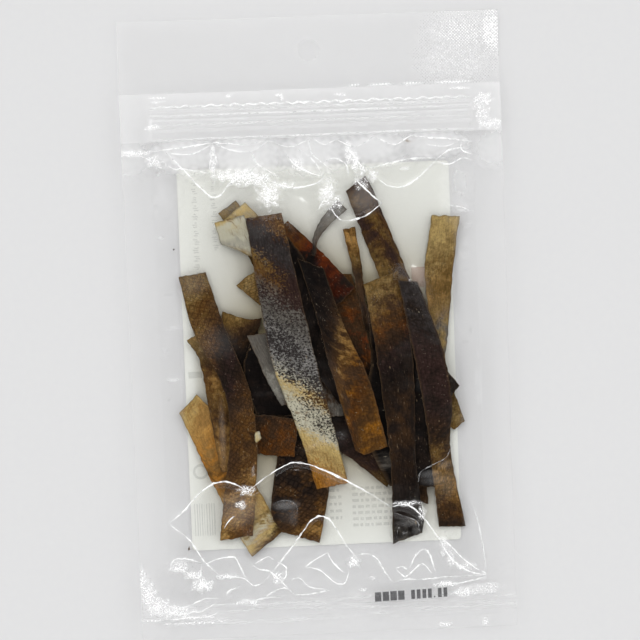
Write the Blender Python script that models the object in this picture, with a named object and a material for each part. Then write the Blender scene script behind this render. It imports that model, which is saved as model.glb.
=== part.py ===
"""Dried salmon skin strips in a clear, flat zip pouch that lies on its back, label down.

Two closed solids, in metres, +Z up, origin on the ground under the middle of the pouch:
  pouch  the sealed pouch as one pillow whose front is drawn down over the strips inside it
  label  the paper label on the outside of its back
All sizes below are in millimetres; +Y points to the header with the hang hole.
"""

import bmesh
import bpy
import numpy as np

MM = 0.001

# the flat pouch
POUCH_WIDTH = 140.0
POUCH_LENGTH = 229.0
SIDE_SEAL = 10.7
BOTTOM_SEAL = 13.5
FILM = 0.45                  # two sealed plies, as thick as the solid is anywhere
HEADER_LINE = 88.0           # foot of the fused header
ZIP_TOP, ZIP_FOOT = 82.5, 70.5
ZIP_TRACK = 76.2             # middle of the closing profile
ZIP_TRACK_WIDTH = 3.4
ZIP_BAND_RISE, ZIP_TRACK_RISE = 0.35, 0.9
HOLE_RADIUS, HOLE_FROM_TOP = 4.0, 12.5
SEAM_HEIGHT = 2.3            # the seams ride this far above the ground

# the label and the flat of the back that carries it
LABEL_WIDTH, LABEL_LENGTH, LABEL_THICK = 100.5, 141.5, 0.3
LABEL_MIDDLE_Y = -10.75
LABEL_CORNER = 1.5
LABEL_GAP = 0.3
BACK = LABEL_THICK + LABEL_GAP
BACK_MARGIN = 1.5

# the strips and the film over them
SKIN = 0.5                   # thickness of one strip
SKIN_GAP = 0.9               # air left between strips that cross, as they are curled
SPAN = 3                     # cells on each side that a stiff strip bridges
FILM_GAP = 0.5               # film above the topmost strip
SLACK = 0.010                # how fast the film sags between what holds it up, per mm
PUCKER_PITCH, PUCKER_DEPTH, PUCKER_REACH = 10.0, 0.8, 9.0
FOLD_WIDTH = 2.6             # half width of the rounded folds in the film
CELL = 1.0                   # spacing of the height field all of this is worked out on
SWEEPS, OVERSHOOT = 500, 1.95   # for settling the film on that field

HALF_X, HALF_Y = POUCH_WIDTH / 2, POUCH_LENGTH / 2
SEAL_X = HALF_X - SIDE_SEAL
SEAL_Y = -HALF_Y + BOTTOM_SEAL

# Each strip from the bottom of the heap to its top, by its left edge, its right edge, and
# what lies between the corners on its top and bottom ends.
STRIPS = {
    "orange_left": (
        [(-53, -29.5), (-46.5, -45), (-40.5, -59), (-32.5, -77)],
        [(-42, -27.5), (-32.5, -43), (-24, -61), (-16.5, -75.5)],
        [(-50.3, -27.1), (-46.2, -23)], [(-28.2, -84.5), (-20, -78.5)]),
    "khaki_right": (
        [(43.2, 40), (40, 20), (41, 0), (41, -18)],
        [(53.5, 39.3), (50.5, 20), (48.2, 0), (46, -18)], [], []),
    "long_crossing": (
        [(11.8, 50), (22.8, 18.8), (36, -14), (46.8, -39)],
        [(21.8, 50.5), (34.3, 17), (44.6, -12), (53, -37)], [(17, 54), (19.3, 55.3)], [(49, -40)]),
    "black_corner": (
        [(17, 6), (29, -9), (44.9, -31.2)],
        [(24, 11), (37, -5), (51.3, -23.5)], [], []),
    "brown_end": (
        [(28, -32), (29, -50), (29.6, -67)],
        [(36, -32), (37.6, -50), (38.2, -67.5)], [], [(34, -66.2)]),
    "black_gap": (
        [(26, -12), (28, -36), (30, -60)],
        [(36.2, -12), (38.7, -36), (40.7, -61)], [], []),
    "olive_left": (
        [(-35.5, 7.5), (-38, -10), (-40, -28)],
        [(-21, 4.5), (-25, -9), (-30, -30)], [(-30, 5.3), (-25, 4)], []),
    "golden_left": (
        [(-49, -2.7), (-44.5, -11), (-42, -28), (-38.5, -52)],
        [(-40, -1), (-35, -11), (-32, -28), (-30, -52)], [(-45.5, -0.8)], []),
    "black_middle": (
        [(-25, -5), (-27.5, -16), (-22.3, -31.5)],
        [(-15, -3), (-10, -17), (-8, -31.5)], [], []),
    "scaly": (
        [(-14, -32), (-17, -46.5), (-20.5, -67), (-16.8, -75.5)],
        [(1, -32), (3, -46.5), (0.4, -66), (-2.8, -80.3)], [], []),
    "brown_across": (
        [(-33, -31), (-33, -38), (-32, -45)],
        [(-9.3, -33.5), (-9.8, -40), (-11, -47.5)], [(-21, -31.6)], [(-21, -46.6)]),
    "silver_side": (
        [(-26.7, -1.8), (-20, -18.5), (-15, -28.3)],
        [(-15, -0.5), (-9.5, -15), (-7, -27)], [], []),
    "olive_end": (
        [(-35.5, 43.7), (-25, 27.5), (-18, 8)],
        [(-28.8, 48.2), (-17, 30), (-9, 10)], [], []),
    "cream_corner": (
        [(-34, 40.7), (-26, 32), (-18, 23)],
        [(-25.5, 47.5), (-17.5, 38.4), (-10, 30)], [], []),
    "pale_square": (
        [(-37, 40.3), (-36, 36), (-35, 32.3)],
        [(-26, 42.8), (-22.5, 34), (-19, 25)], [], [(-29, 29.7)]),
    "olive_tip": (
        [(-30, 16.8), (-22, 9.7), (-10, -1)],
        [(-22.5, 22), (-13, 15), (-4, 7)], [(-25.8, 20.2)], []),
    "amber_under": (
        [(2, 20), (5, 0), (10, -28)],
        [(12.8, 19.5), (17.4, 0), (22, -30)], [], []),
    "red_orange": (
        [(-19, 32), (-7, 18), (5, 6)],
        [(-10, 40), (2, 28), (14, 14.4)], [(-14, 36.5)], []),
    "narrow_upright": (
        [(10.2, 36), (13, 22), (15, 10), (17, -2)],
        [(14.8, 36.8), (16.6, 22), (17.6, 10), (20, -2)], [], []),
    "dark_diagonal": (
        [(-5, -25), (3, -43), (11, -50), (23, -60.5)],
        [(8, -24), (14, -36), (21, -46), (28, -55)], [], []),
    "black_foot": (
        [(14, -34), (18.3, -48), (24, -60)],
        [(24, -34), (28, -47), (33, -58)], [], []),
    "grey_triangle": (
        [(-6, -15), (-4, -24), (-2, -33)],
        [(5, -18), (7, -25), (8, -33)], [], []),
    "dark_beside": (
        [(-19, 33), (-12, 8), (-4, -12), (6, -28)],
        [(-11.5, 36), (-2, 20), (3, -8), (8, -29)], [], []),
    "brown_long": (
        [(-7, 26), (-1, 5), (3.5, -15), (11.8, -46.2)],
        [(2.5, 22), (9.5, 0), (17.5, -19), (23.8, -45)], [], [(15, -48)]),
    "curled_sliver": (
        [(8.8, 46.8), (3, 41), (-0.5, 34.5), (-1.6, 27)],
        [(12, 43.3), (5.6, 38), (1.2, 32.5), (-0.4, 26.5)], [], []),
    "long_left": (
        [(-51, 20.8), (-46.2, 0), (-36.5, -20), (-34.5, -38), (-37.5, -60), (-39.8, -77.8)],
        [(-41, 22.2), (-35, 2), (-27, -20), (-24.5, -40), (-25.8, -60), (-27.5, -76.5)], [], []),
    "black_broad": (
        [(17, 15.5), (19.5, 0), (22, -22), (24.6, -50), (24.5, -82)],
        [(30, 20), (33, 0), (34.5, -22), (34, -50), (36.5, -74)], [], [(30.5, -79.9), (35.5, -78.6)]),
    "dark_right": (
        [(30, 16.5), (33.6, -6), (38, -33), (39.8, -52), (42, -76.4)],
        [(37, 15.8), (45, -8), (48.2, -30), (47.3, -48), (52, -76.5)], [], []),
    "front_speckled": (
        [(-25.5, 41.5), (-22, 14), (-17.6, -13), (-9.5, -37), (-3, -60)],
        [(-12.2, 43), (-6.7, 14), (-1.4, -13), (4, -37), (8.7, -58.3)], [], []),
}

# The main folds that stand up in the slack film, as their height and the line they follow.
FOLDS = {
    "across_the_foot": (1.3, [(-58, -70), (-45, -58), (-36, -55.5), (-29, -59.5), (-22, -54), (-13, -49.2),
                              (-2, -52), (15, -61), (26, -67), (33, -67.5), (41, -79.5), (48, -85)]),
    "arch_at_the_foot": (1.0, [(-17, -86), (-9, -78.5), (-3, -70.5), (1, -71.5), (5, -78), (10, -85.3)]),
    "foot_left": (0.9, [(-58, -71), (-51, -77), (-46, -85), (-40, -92)]),
    "top_left": (0.8, [(-52, 61), (-42, 55), (-36, 49.7), (-31, 56)]),
    "top_loop": (1.1, [(15, 55), (21, 48.5), (25, 45), (18, 40.5), (10, 39.3), (6, 44)]),
    "top_right": (0.9, [(23, 57), (31, 50), (40, 55), (48, 61)]),
}


# ------------------------------------------------------------------ height fields
field_x = np.arange(-HALF_X, HALF_X + CELL / 2, CELL)
field_y = np.arange(-HALF_Y, HALF_Y + CELL / 2, CELL)
GRID_X, GRID_Y = np.meshgrid(field_x, field_y)


def at(field, x, y):
    """Height of a field at any points, read linearly between its cells."""
    i = np.clip((np.asarray(x) + HALF_X) / CELL, 0, len(field_x) - 1.001)
    j = np.clip((np.asarray(y) + HALF_Y) / CELL, 0, len(field_y) - 1.001)
    i0, j0 = i.astype(int), j.astype(int)
    fi, fj = i - i0, j - j0
    low = field[j0, i0] * (1 - fi) + field[j0, i0 + 1] * fi
    high = field[j0 + 1, i0] * (1 - fi) + field[j0 + 1, i0 + 1] * fi
    return low * (1 - fj) + high * fj


def ease(t):
    t = np.clip(t, 0, 1)
    return t * t * (3 - 2 * t)


def along(points, t):
    """Points at the fractions t of a smooth curve through a few given points."""
    p = np.array(points, float)
    if len(p) == 2:
        return p[0] + np.outer(t, p[1] - p[0])
    p = np.vstack([2 * p[0] - p[1], p, 2 * p[-1] - p[-2]])
    s = np.clip(np.asarray(t) * (len(p) - 3), 0, len(p) - 3 - 1e-9)
    k = s.astype(int)
    f = (s - k)[:, None]
    a, b, c, d = p[k], p[k + 1], p[k + 2], p[k + 3]
    return 0.5 * (2 * b + (c - a) * f + (2 * a - 5 * b + 4 * c - d) * f**2
                  + (3 * b - a - 3 * c + d) * f**3)


def straight(points, t):
    """Points at the fractions t of the straight runs through a few given points."""
    p = np.array(points, float)
    s = np.linspace(0, 1, len(p))
    return np.stack([np.interp(t, s, p[:, k]) for k in (0, 1)], -1)


def patch(strip, step):
    """The strip in plan, as a grid of points: rows run down it and columns across it."""
    left, right, top, foot = strip
    long_way = np.hypot(*(np.subtract(left[0], left[-1])))
    wide_way = np.hypot(*(np.subtract(left[0], right[0])))
    v = np.linspace(0, 1, max(4, int(long_way / step)))
    u = np.linspace(0, 1, max(4, int(wide_way / step)))
    west, east = along(left, v)[:, None], along(right, v)[:, None]
    north = straight([left[0], *top, right[0]], u)[None]
    south = straight([left[-1], *foot, right[-1]], u)[None]
    u, v = u[None, :, None], v[:, None, None]
    corners = ((1 - u) * (1 - v) * west[:1] + u * (1 - v) * east[:1]
               + (1 - u) * v * west[-1:] + u * v * east[-1:])
    return (1 - u) * west + u * east + (1 - v) * north + v * south - corners


def spread(heights, reach, pick):
    """The pick, such as the largest, of the heights within reach cells on all sides."""
    for axis in (0, 1):
        margin = [(0, 0), (0, 0)]
        margin[axis] = (reach, reach)
        padded = np.pad(heights, margin, "edge")
        own = np.arange(heights.shape[axis])
        heights = pick([np.take(padded, own + k, axis) for k in range(2 * reach + 1)], 0)
    return heights


def heap(floor):
    """Lays the strips on each other, each one bridging what it crosses; returns the top."""
    top = floor.copy()
    for strip in STRIPS.values():
        spots = patch(strip, CELL / 2)
        under = at(top, spots[..., 0], spots[..., 1])
        lie = spread(spread(under, 2 * SPAN, np.max), 2 * SPAN, np.mean)
        lie = np.maximum(lie, under) + SKIN_GAP
        i = np.rint((spots[..., 0] + HALF_X) / CELL).astype(int)
        j = np.rint((spots[..., 1] + HALF_Y) / CELL).astype(int)
        np.maximum.at(top, (j, i), lie + SKIN)
    return top


def seams():
    """Height of the sealed margins and the header, which wave a little."""
    wave = 0.5 * np.sin(GRID_Y / 31 + 1) * GRID_X / HALF_X + 0.3 * np.sin(GRID_Y / 19)
    header = 0.9 * ease((GRID_Y - ZIP_TOP) / (HALF_Y - ZIP_TOP)) * np.cos(GRID_X / 38 - 0.6)
    corner = 1.2 * ease((-GRID_X - 40) / 30) * ease((-GRID_Y - 90) / 25)
    return SEAM_HEIGHT + wave + header + corner


def folds():
    """How much the folds raise the film."""
    raised = np.zeros_like(GRID_X)
    for height, line in FOLDS.values():
        reach = np.full_like(GRID_X, np.inf)
        for x, y in along(line, np.linspace(0, 1, 240)):
            reach = np.minimum(reach, np.hypot(GRID_X - x, GRID_Y - y))
        raised = np.maximum(raised, height * np.exp(-(reach / FOLD_WIDTH)**2))
    return raised


def back(seam):
    """The back of the pouch: flat over the label, then up to the seams."""
    flat_x = LABEL_WIDTH / 2 + BACK_MARGIN
    low_y = LABEL_MIDDLE_Y - LABEL_LENGTH / 2 - BACK_MARGIN
    high_y = LABEL_MIDDLE_Y + LABEL_LENGTH / 2 + BACK_MARGIN
    rise_x = (abs(GRID_X) - flat_x) / (SEAL_X - flat_x)
    rise_y = np.maximum((GRID_Y - high_y) / (ZIP_FOOT - high_y), (low_y - GRID_Y) / (low_y - SEAL_Y))
    rise = ease(np.maximum(rise_x, rise_y))
    return BACK + (seam - FILM / 2 - BACK) * rise


def front(seam, heap_top):
    """The front of the pouch: film stretched between the seams and over the heap."""
    fixed = (abs(GRID_X) >= SEAL_X) | (GRID_Y >= ZIP_FOOT) | (GRID_Y <= SEAL_Y)
    lowest = np.where(fixed, seam + FILM / 2, heap_top + FILM_GAP)
    film = lowest + 0
    checker = (np.add.outer(np.arange(len(field_y)), np.arange(len(field_x))) % 2)[1:-1, 1:-1]
    for step in range(2 * SWEEPS):
        mean = (film[:-2, 1:-1] + film[2:, 1:-1] + film[1:-1, :-2] + film[1:-1, 2:]) / 4
        inner = film[1:-1, 1:-1]
        moved = np.maximum(inner + OVERSHOOT * (mean - SLACK / 4 - inner), lowest[1:-1, 1:-1])
        turn = (checker == step % 2) & ~fixed[1:-1, 1:-1]
        film[1:-1, 1:-1] = np.where(turn, moved, inner)
    inward = SEAL_X - abs(GRID_X)
    fade = ease(inward / 2) * ease(1 - inward / PUCKER_REACH)
    fade *= ease((ZIP_FOOT - GRID_Y) / 6) * ease((GRID_Y - SEAL_Y) / 6)
    turns = GRID_Y / PUCKER_PITCH + 0.2 * (GRID_X > 0)
    film += PUCKER_DEPTH * fade * (1 + np.sin(2 * np.pi * turns)) / 2
    film += folds() * ease(inward / 6)
    in_band = (GRID_Y >= ZIP_FOOT) & (GRID_Y <= ZIP_TOP)
    return film + ZIP_BAND_RISE * in_band


def lines(*runs):
    """Grid lines through the given stations, each run cut into its number of equal steps."""
    stations = [runs[0][0]]
    for start, end, steps in runs:
        stations += list(np.linspace(start, end, steps + 1)[1:])
    return np.array(stations)


# ------------------------------------------------------------------ the two solids
def make_material(name, colour, roughness, alpha=1.0):
    material = bpy.data.materials.new(name)
    material.use_nodes = True
    shader = material.node_tree.nodes["Principled BSDF"]
    shader.inputs["Base Color"].default_value = (*colour, 1.0)
    shader.inputs["Roughness"].default_value = roughness
    shader.inputs["Alpha"].default_value = alpha
    material.diffuse_color = (*colour, alpha)
    return material


def add_object(name, mesh, collection, material=None):
    thing = bpy.data.objects.new(name, mesh)
    collection.objects.link(thing)
    if material:
        mesh.materials.append(material)
    return thing


def make_pouch(collection, cutters):
    """One grid in plan, extruded into a front and a back, then moved to the two heights."""
    half_track = ZIP_TRACK_WIDTH / 2
    x_lines = lines((-HALF_X, -SEAL_X, 3), (-SEAL_X, SEAL_X, 34), (SEAL_X, HALF_X, 3))
    y_lines = lines((-HALF_Y, SEAL_Y, 3), (SEAL_Y, ZIP_FOOT, 68), (ZIP_FOOT, ZIP_FOOT + 0.6, 1),
                    (ZIP_FOOT + 0.6, ZIP_TRACK - half_track, 1),
                    (ZIP_TRACK - half_track, ZIP_TRACK + half_track, 4),
                    (ZIP_TRACK + half_track, ZIP_TOP - 0.6, 1), (ZIP_TOP - 0.6, ZIP_TOP, 1),
                    (ZIP_TOP, HEADER_LINE, 2), (HEADER_LINE, HALF_Y, 6))
    seam = seams()
    back_field = back(seam)
    front_field = np.maximum(front(seam, heap(back_field)), back_field + FILM)

    mesh = bmesh.new()
    columns, rows = len(x_lines) - 1, len(y_lines) - 1
    bmesh.ops.create_grid(mesh, x_segments=columns, y_segments=rows, size=0.5)
    for vert in mesh.verts:
        vert.co.x = x_lines[round((vert.co.x + 0.5) * columns)]
        vert.co.y = y_lines[round((vert.co.y + 0.5) * rows)]
    made = bmesh.ops.extrude_face_region(mesh, geom=mesh.faces[:], use_keep_orig=True)
    upper = {item for item in made["geom"] if isinstance(item, bmesh.types.BMVert)}
    for vert in mesh.verts:
        x, y = vert.co.x, vert.co.y
        if vert in upper:
            track = max(0.0, 1 - abs(y - ZIP_TRACK) / half_track) * (abs(x) < SEAL_X)
            vert.co.z = at(front_field, x, y) + ZIP_TRACK_RISE * track
        else:
            vert.co.z = at(back_field, x, y)
    bmesh.ops.scale(mesh, vec=(MM, MM, MM), verts=mesh.verts[:])
    bmesh.ops.recalc_face_normals(mesh, faces=mesh.faces[:])
    flat = [edge for edge in mesh.edges
            if all(abs(vert.co.z - BACK * MM) < 1e-7 for vert in edge.verts)]
    flat_verts = list({vert for edge in flat for vert in edge.verts})
    bmesh.ops.dissolve_limit(mesh, angle_limit=1e-4, verts=flat_verts, edges=flat)
    data = bpy.data.meshes.new("pouch")
    mesh.to_mesh(data)
    mesh.free()
    film = make_material("clear_film", (0.80, 0.81, 0.80), 0.12, 0.35)
    pouch = add_object("pouch", data, collection, film)

    bpy.ops.mesh.primitive_cylinder_add(
        vertices=24, radius=HOLE_RADIUS * MM, depth=20 * MM,
        location=(0, (HALF_Y - HOLE_FROM_TOP) * MM, SEAM_HEIGHT * MM))
    punch = bpy.context.object
    punch.name = "hang_hole_punch"
    for owner in list(punch.users_collection):
        owner.objects.unlink(punch)
    cutters.objects.link(punch)
    punch.hide_render = True
    punch.display_type = "WIRE"
    hole = pouch.modifiers.new("hang_hole", "BOOLEAN")
    hole.object = punch
    hole.operation = "DIFFERENCE"
    return pouch


def make_label(collection):
    """A thin plate with rounded corners, flat on the ground."""
    mesh = bmesh.new()
    bmesh.ops.create_cube(mesh, size=1.0)
    bmesh.ops.scale(mesh, vec=(LABEL_WIDTH * MM, LABEL_LENGTH * MM, LABEL_THICK * MM),
                    verts=mesh.verts[:])
    corners = [edge for edge in mesh.edges
               if abs(edge.verts[0].co.z - edge.verts[1].co.z) > LABEL_THICK * MM / 2]
    bmesh.ops.bevel(mesh, geom=corners, offset=LABEL_CORNER * MM, segments=4, profile=0.5,
                    affect="EDGES")
    data = bpy.data.meshes.new("label")
    mesh.to_mesh(data)
    mesh.free()
    paper = make_material("label_paper", (0.78, 0.79, 0.74), 0.55)
    label = add_object("label", data, collection, paper)
    label.location = (0, LABEL_MIDDLE_Y * MM, LABEL_THICK * MM / 2)
    return label


for old in list(bpy.data.objects):
    bpy.data.objects.remove(old, do_unlink=True)
model = bpy.data.collections.new("dried_salmon_skin_pouch")
cutters = bpy.data.collections.new("cutters")
bpy.context.scene.collection.children.link(model)
bpy.context.scene.collection.children.link(cutters)
make_pouch(model, cutters)
make_label(model)
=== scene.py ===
from math import radians

import bpy
import numpy as np
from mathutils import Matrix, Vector


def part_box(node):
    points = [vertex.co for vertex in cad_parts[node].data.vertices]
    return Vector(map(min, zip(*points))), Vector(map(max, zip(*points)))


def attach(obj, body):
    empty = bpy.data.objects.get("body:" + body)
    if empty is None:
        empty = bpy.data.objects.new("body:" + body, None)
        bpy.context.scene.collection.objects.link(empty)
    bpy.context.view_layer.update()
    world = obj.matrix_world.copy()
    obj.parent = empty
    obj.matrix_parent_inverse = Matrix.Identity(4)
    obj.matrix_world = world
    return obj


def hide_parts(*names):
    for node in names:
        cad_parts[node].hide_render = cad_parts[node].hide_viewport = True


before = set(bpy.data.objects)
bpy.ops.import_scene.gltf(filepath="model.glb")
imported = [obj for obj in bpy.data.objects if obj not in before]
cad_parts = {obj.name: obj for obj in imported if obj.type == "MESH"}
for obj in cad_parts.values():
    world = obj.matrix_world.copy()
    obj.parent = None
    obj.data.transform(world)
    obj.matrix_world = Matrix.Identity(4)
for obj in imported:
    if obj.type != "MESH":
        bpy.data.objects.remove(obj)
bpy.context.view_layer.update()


# ---------------------------------------------------------------- table, light and camera
# A matt white table top in a white light tent. The tent glows low down, at its walls, and at a
# long window over each end of the pack. It is open where the camera and its holder stand, which
# the film mirrors as its clear dark part. Two small bare lamps draw bright lines along its folds.
MM = 0.001
TABLE_SIZE, TABLE_DROP = 2.4, 0.0001
CLOTH_GLOW = 0.09                    # radiance of the tent's cloth round its opening
OPENING_TILT_X, OPENING_TILT_Y = radians(3), radians(-8)
OPENING_RADIUS, OPENING_SOFT, OPENING_GLOW = radians(20), radians(7), 0.03
WALL_GLOW, WALLS_IN, WALLS_OUT = 2.45, radians(44), radians(56)
WINDOW_GLOW, WINDOWS_IN, WINDOWS_OUT = 2.1, radians(32), radians(48)
WINDOW_SOFT_IN, WINDOW_SOFT_OUT = radians(3), radians(4)
BETWEEN_GLOW = 0.06                  # beside the windows, from one to the other
WINDOW_START, WINDOW_FULL = 0.6, 0.85    # as the sine of the angle round from the pack's side
LAMP_RADIUS = 0.008
LAMPS = {"lamp_head": ((0.22, 0.33, 0.76), 70), "lamp_foot": ((0.05, -0.42, 0.72), 45)}    # place, radiance
CAMERA_PLACE = (-0.01892, 0.04892, 0.700)
CAMERA_TURN = (-0.06474, -0.03029, -0.03817)
CAMERA_LENS = 106.42


def srgb(code):
    """An sRGB hex colour as the linear one that shaders take."""
    parts = [int(code[k:k + 2], 16) / 255 for k in (1, 3, 5)]
    linear = [p / 12.92 if p <= 0.04045 else ((p + 0.055) / 1.055)**2.4 for p in parts]
    return (*linear, 1.0)


def add(tree, kind, *inputs, **settings):
    """Adds a node with its settings, and links or fills its inputs.

    They are given in the order in which the node shows them, or by name in one dict. A node that
    is given as an input stands for the first of its outputs.
    """
    made = tree.nodes.new("ShaderNode" + kind)
    for name, value in settings.items():
        setattr(made, name, value)
    pairs = zip([socket for socket in made.inputs if socket.enabled], inputs)
    if inputs and isinstance(inputs[0], dict):
        pairs = [(made.inputs[name], value) for name, value in inputs[0].items()]
    for socket, value in pairs:
        if isinstance(value, bpy.types.Node):
            value = next(output for output in value.outputs if output.enabled)
        if isinstance(value, bpy.types.NodeSocket):
            tree.links.new(value, socket)
        else:
            socket.default_value = value
    return made


def new_material(name):
    """A material with an empty node tree, and that tree."""
    material = bpy.data.materials.new(name)
    material.use_nodes = True
    material.node_tree.nodes.clear()
    return material, material.node_tree


bpy.context.scene.view_settings.view_transform = "Standard"

# Matt paint on board: even and hardly shiny, with a faint grain. The real grain is finer.
BOARD_GRAIN = 1 / 0.9                # mm
table_paint, tree = new_material("matt_white_table")
grain = add(tree, "TexNoise", {"Scale": 1 / (BOARD_GRAIN * MM), "Detail": 3.0})
shade = add(tree, "Mix", grain, srgb("#dbdbdb"), srgb("#d8d8d9"), data_type="RGBA")
add(tree, "OutputMaterial", add(tree, "BsdfPrincipled", {
    "Base Color": shade, "Roughness": 0.7, "Specular IOR Level": 0.2}))
bpy.ops.mesh.primitive_plane_add(size=TABLE_SIZE, location=(0, 0, -TABLE_DROP))
table = bpy.context.object
table.name = "table_top"
table.data.materials.append(table_paint)

world = bpy.data.worlds.new("light_tent")
bpy.context.scene.world = world
world.use_nodes = True
tree = world.node_tree
tree.nodes.clear()
opening = Vector((np.tan(OPENING_TILT_X), np.tan(OPENING_TILT_Y), 1)).normalized()
ray = add(tree, "TexCoord").outputs["Generated"]
near = add(tree, "VectorMath", ray, opening, operation="DOT_PRODUCT")
cloth, walls, inner, outer = (
    add(tree, "MapRange", near, float(np.cos(far)), float(np.cos(close)), outside, inside,
        interpolation_type="SMOOTHSTEP")
    for far, close, outside, inside in (
        (OPENING_RADIUS + OPENING_SOFT, OPENING_RADIUS, CLOTH_GLOW, OPENING_GLOW),
        (WALLS_OUT, WALLS_IN, WALL_GLOW, 0.0),
        (WINDOWS_IN, WINDOWS_IN - WINDOW_SOFT_IN, 1.0, 0.0),
        (WINDOWS_OUT, WINDOWS_OUT - WINDOW_SOFT_OUT, 0.0, 1.0)))
cloth = add(tree, "Math", cloth, walls, operation="ADD")
ring = add(tree, "Math", inner, outer, operation="MULTIPLY")
sides = add(tree, "SeparateXYZ", add(tree, "VectorMath", ray, opening, operation="SUBTRACT"))
azimuth = add(tree, "Math", sides.outputs["Y"], sides.outputs["X"], operation="ARCTAN2")
lengthwise = add(tree, "Math", add(tree, "Math", azimuth, operation="SINE"), operation="ABSOLUTE")
window = add(tree, "MapRange", lengthwise, WINDOW_START, WINDOW_FULL, BETWEEN_GLOW, WINDOW_GLOW,
             interpolation_type="SMOOTHSTEP")
glow = add(tree, "Math", window, ring, cloth, operation="MULTIPLY_ADD")
add(tree, "OutputWorld", add(tree, "Background", {"Strength": glow}))

for name, (place, radiance) in LAMPS.items():
    lamp = bpy.data.lights.new(name, "AREA")
    lamp.shape = "DISK"
    lamp.size = 2 * LAMP_RADIUS
    lamp.energy = radiance * np.pi * np.pi * LAMP_RADIUS**2
    holder = bpy.data.objects.new(name, lamp)
    holder.location = place
    holder.rotation_euler = (-Vector(place)).to_track_quat("-Z", "Y").to_euler()
    bpy.context.scene.collection.objects.link(holder)

lens = bpy.data.cameras.new("camera")
lens.lens = CAMERA_LENS
camera = bpy.data.objects.new("camera", lens)
camera.location = CAMERA_PLACE
camera.rotation_euler = CAMERA_TURN
bpy.context.scene.collection.objects.link(camera)
bpy.context.scene.camera = camera


# ---------------------------------------------------------------- the strips of dried skin
# Salmon skin, cut into long strips and dried until crisp. The strips lie loose on the back
# film, each one across those under it, cupped and rippled from drying.
HALF_X, HALF_Y = 70.0, 114.5         # half the flat pouch, in mm as all sizes below
SIDE_SEAL, BOTTOM_SEAL = 10.7, 13.5
SEAL_X, SEAL_Y = HALF_X - SIDE_SEAL, -HALF_Y + BOTTOM_SEAL
ZIP_TOP, ZIP_FOOT, HEADER_LINE = 82.5, 70.5, 88.0
SEAM_HEIGHT, HEADER_SINK, CORNER_RISE, PLY = 2.3, 1.3, 1.2, 0.2
LABEL_LOW, LABEL_HIGH = (Vector(corner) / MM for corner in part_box("label"))
LABEL_GAP, BACK_MARGIN = 0.3, 1.5    # from the label up to the film, and flat film round the label
BACK = LABEL_HIGH.z + LABEL_GAP
SKIN_THICK = 0.5
SKIN_REST, SKIN_CUP = 0.12, 0.78     # least air under a strip, and how far its cupping lifts it
SKIN_TIP = 0.2                       # share of that lift that only tips it to one side
SKIN_STEP, CELL = 0.5, 0.5           # cells of a strip's mesh, and of the fields of heights
SPAN = 6                             # cells on each side that a stiff strip bridges
CUP_ROWS, TIP_ROWS = 40, 30          # rows of cells from one way of cupping or tipping to another
RAGGED = 0.13                        # unevenness of the cut edges
RIPPLE, RIPPLE_SIZE = 0.1, 2.6       # unevenness of the skin itself, and how wide its patches are

SKIN_TONES = {   # as they show through the film
    "black": "#0e0b0a", "soot": "#1d1612", "plum": "#2b1e1b", "bark": "#372617", "umber": "#4c3317",
    "rust": "#502e0d", "red": "#582408", "amber": "#7e5116", "orange": "#a56f2a", "tan": "#886739",
    "olive": "#5f4926", "khaki": "#7f6a43", "straw": "#a8915c", "cream": "#bdac7c", "ash": "#56524c",
    "silver": "#7d7b73", "bone": "#a9a592", "char": "#2c2827", "steel": "#74726f", "wine": "#341307",
}
FILM_PASS = 0.9                      # share of the light that the film lets down and up again
PALE_EDGE, DARK_EDGE = "#4d3c29", "#241a10"    # cut edges of dark skin, and of pale skin
PALE_SKIN = 0.1                      # how light, in green, skin has to be to have a dark edge
TONE_STRAY = 0.015                   # how far along a strip a spot's tone may stray
SKIN_APART = 17.0                    # between the patterns of two strips, so that none is alike

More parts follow.
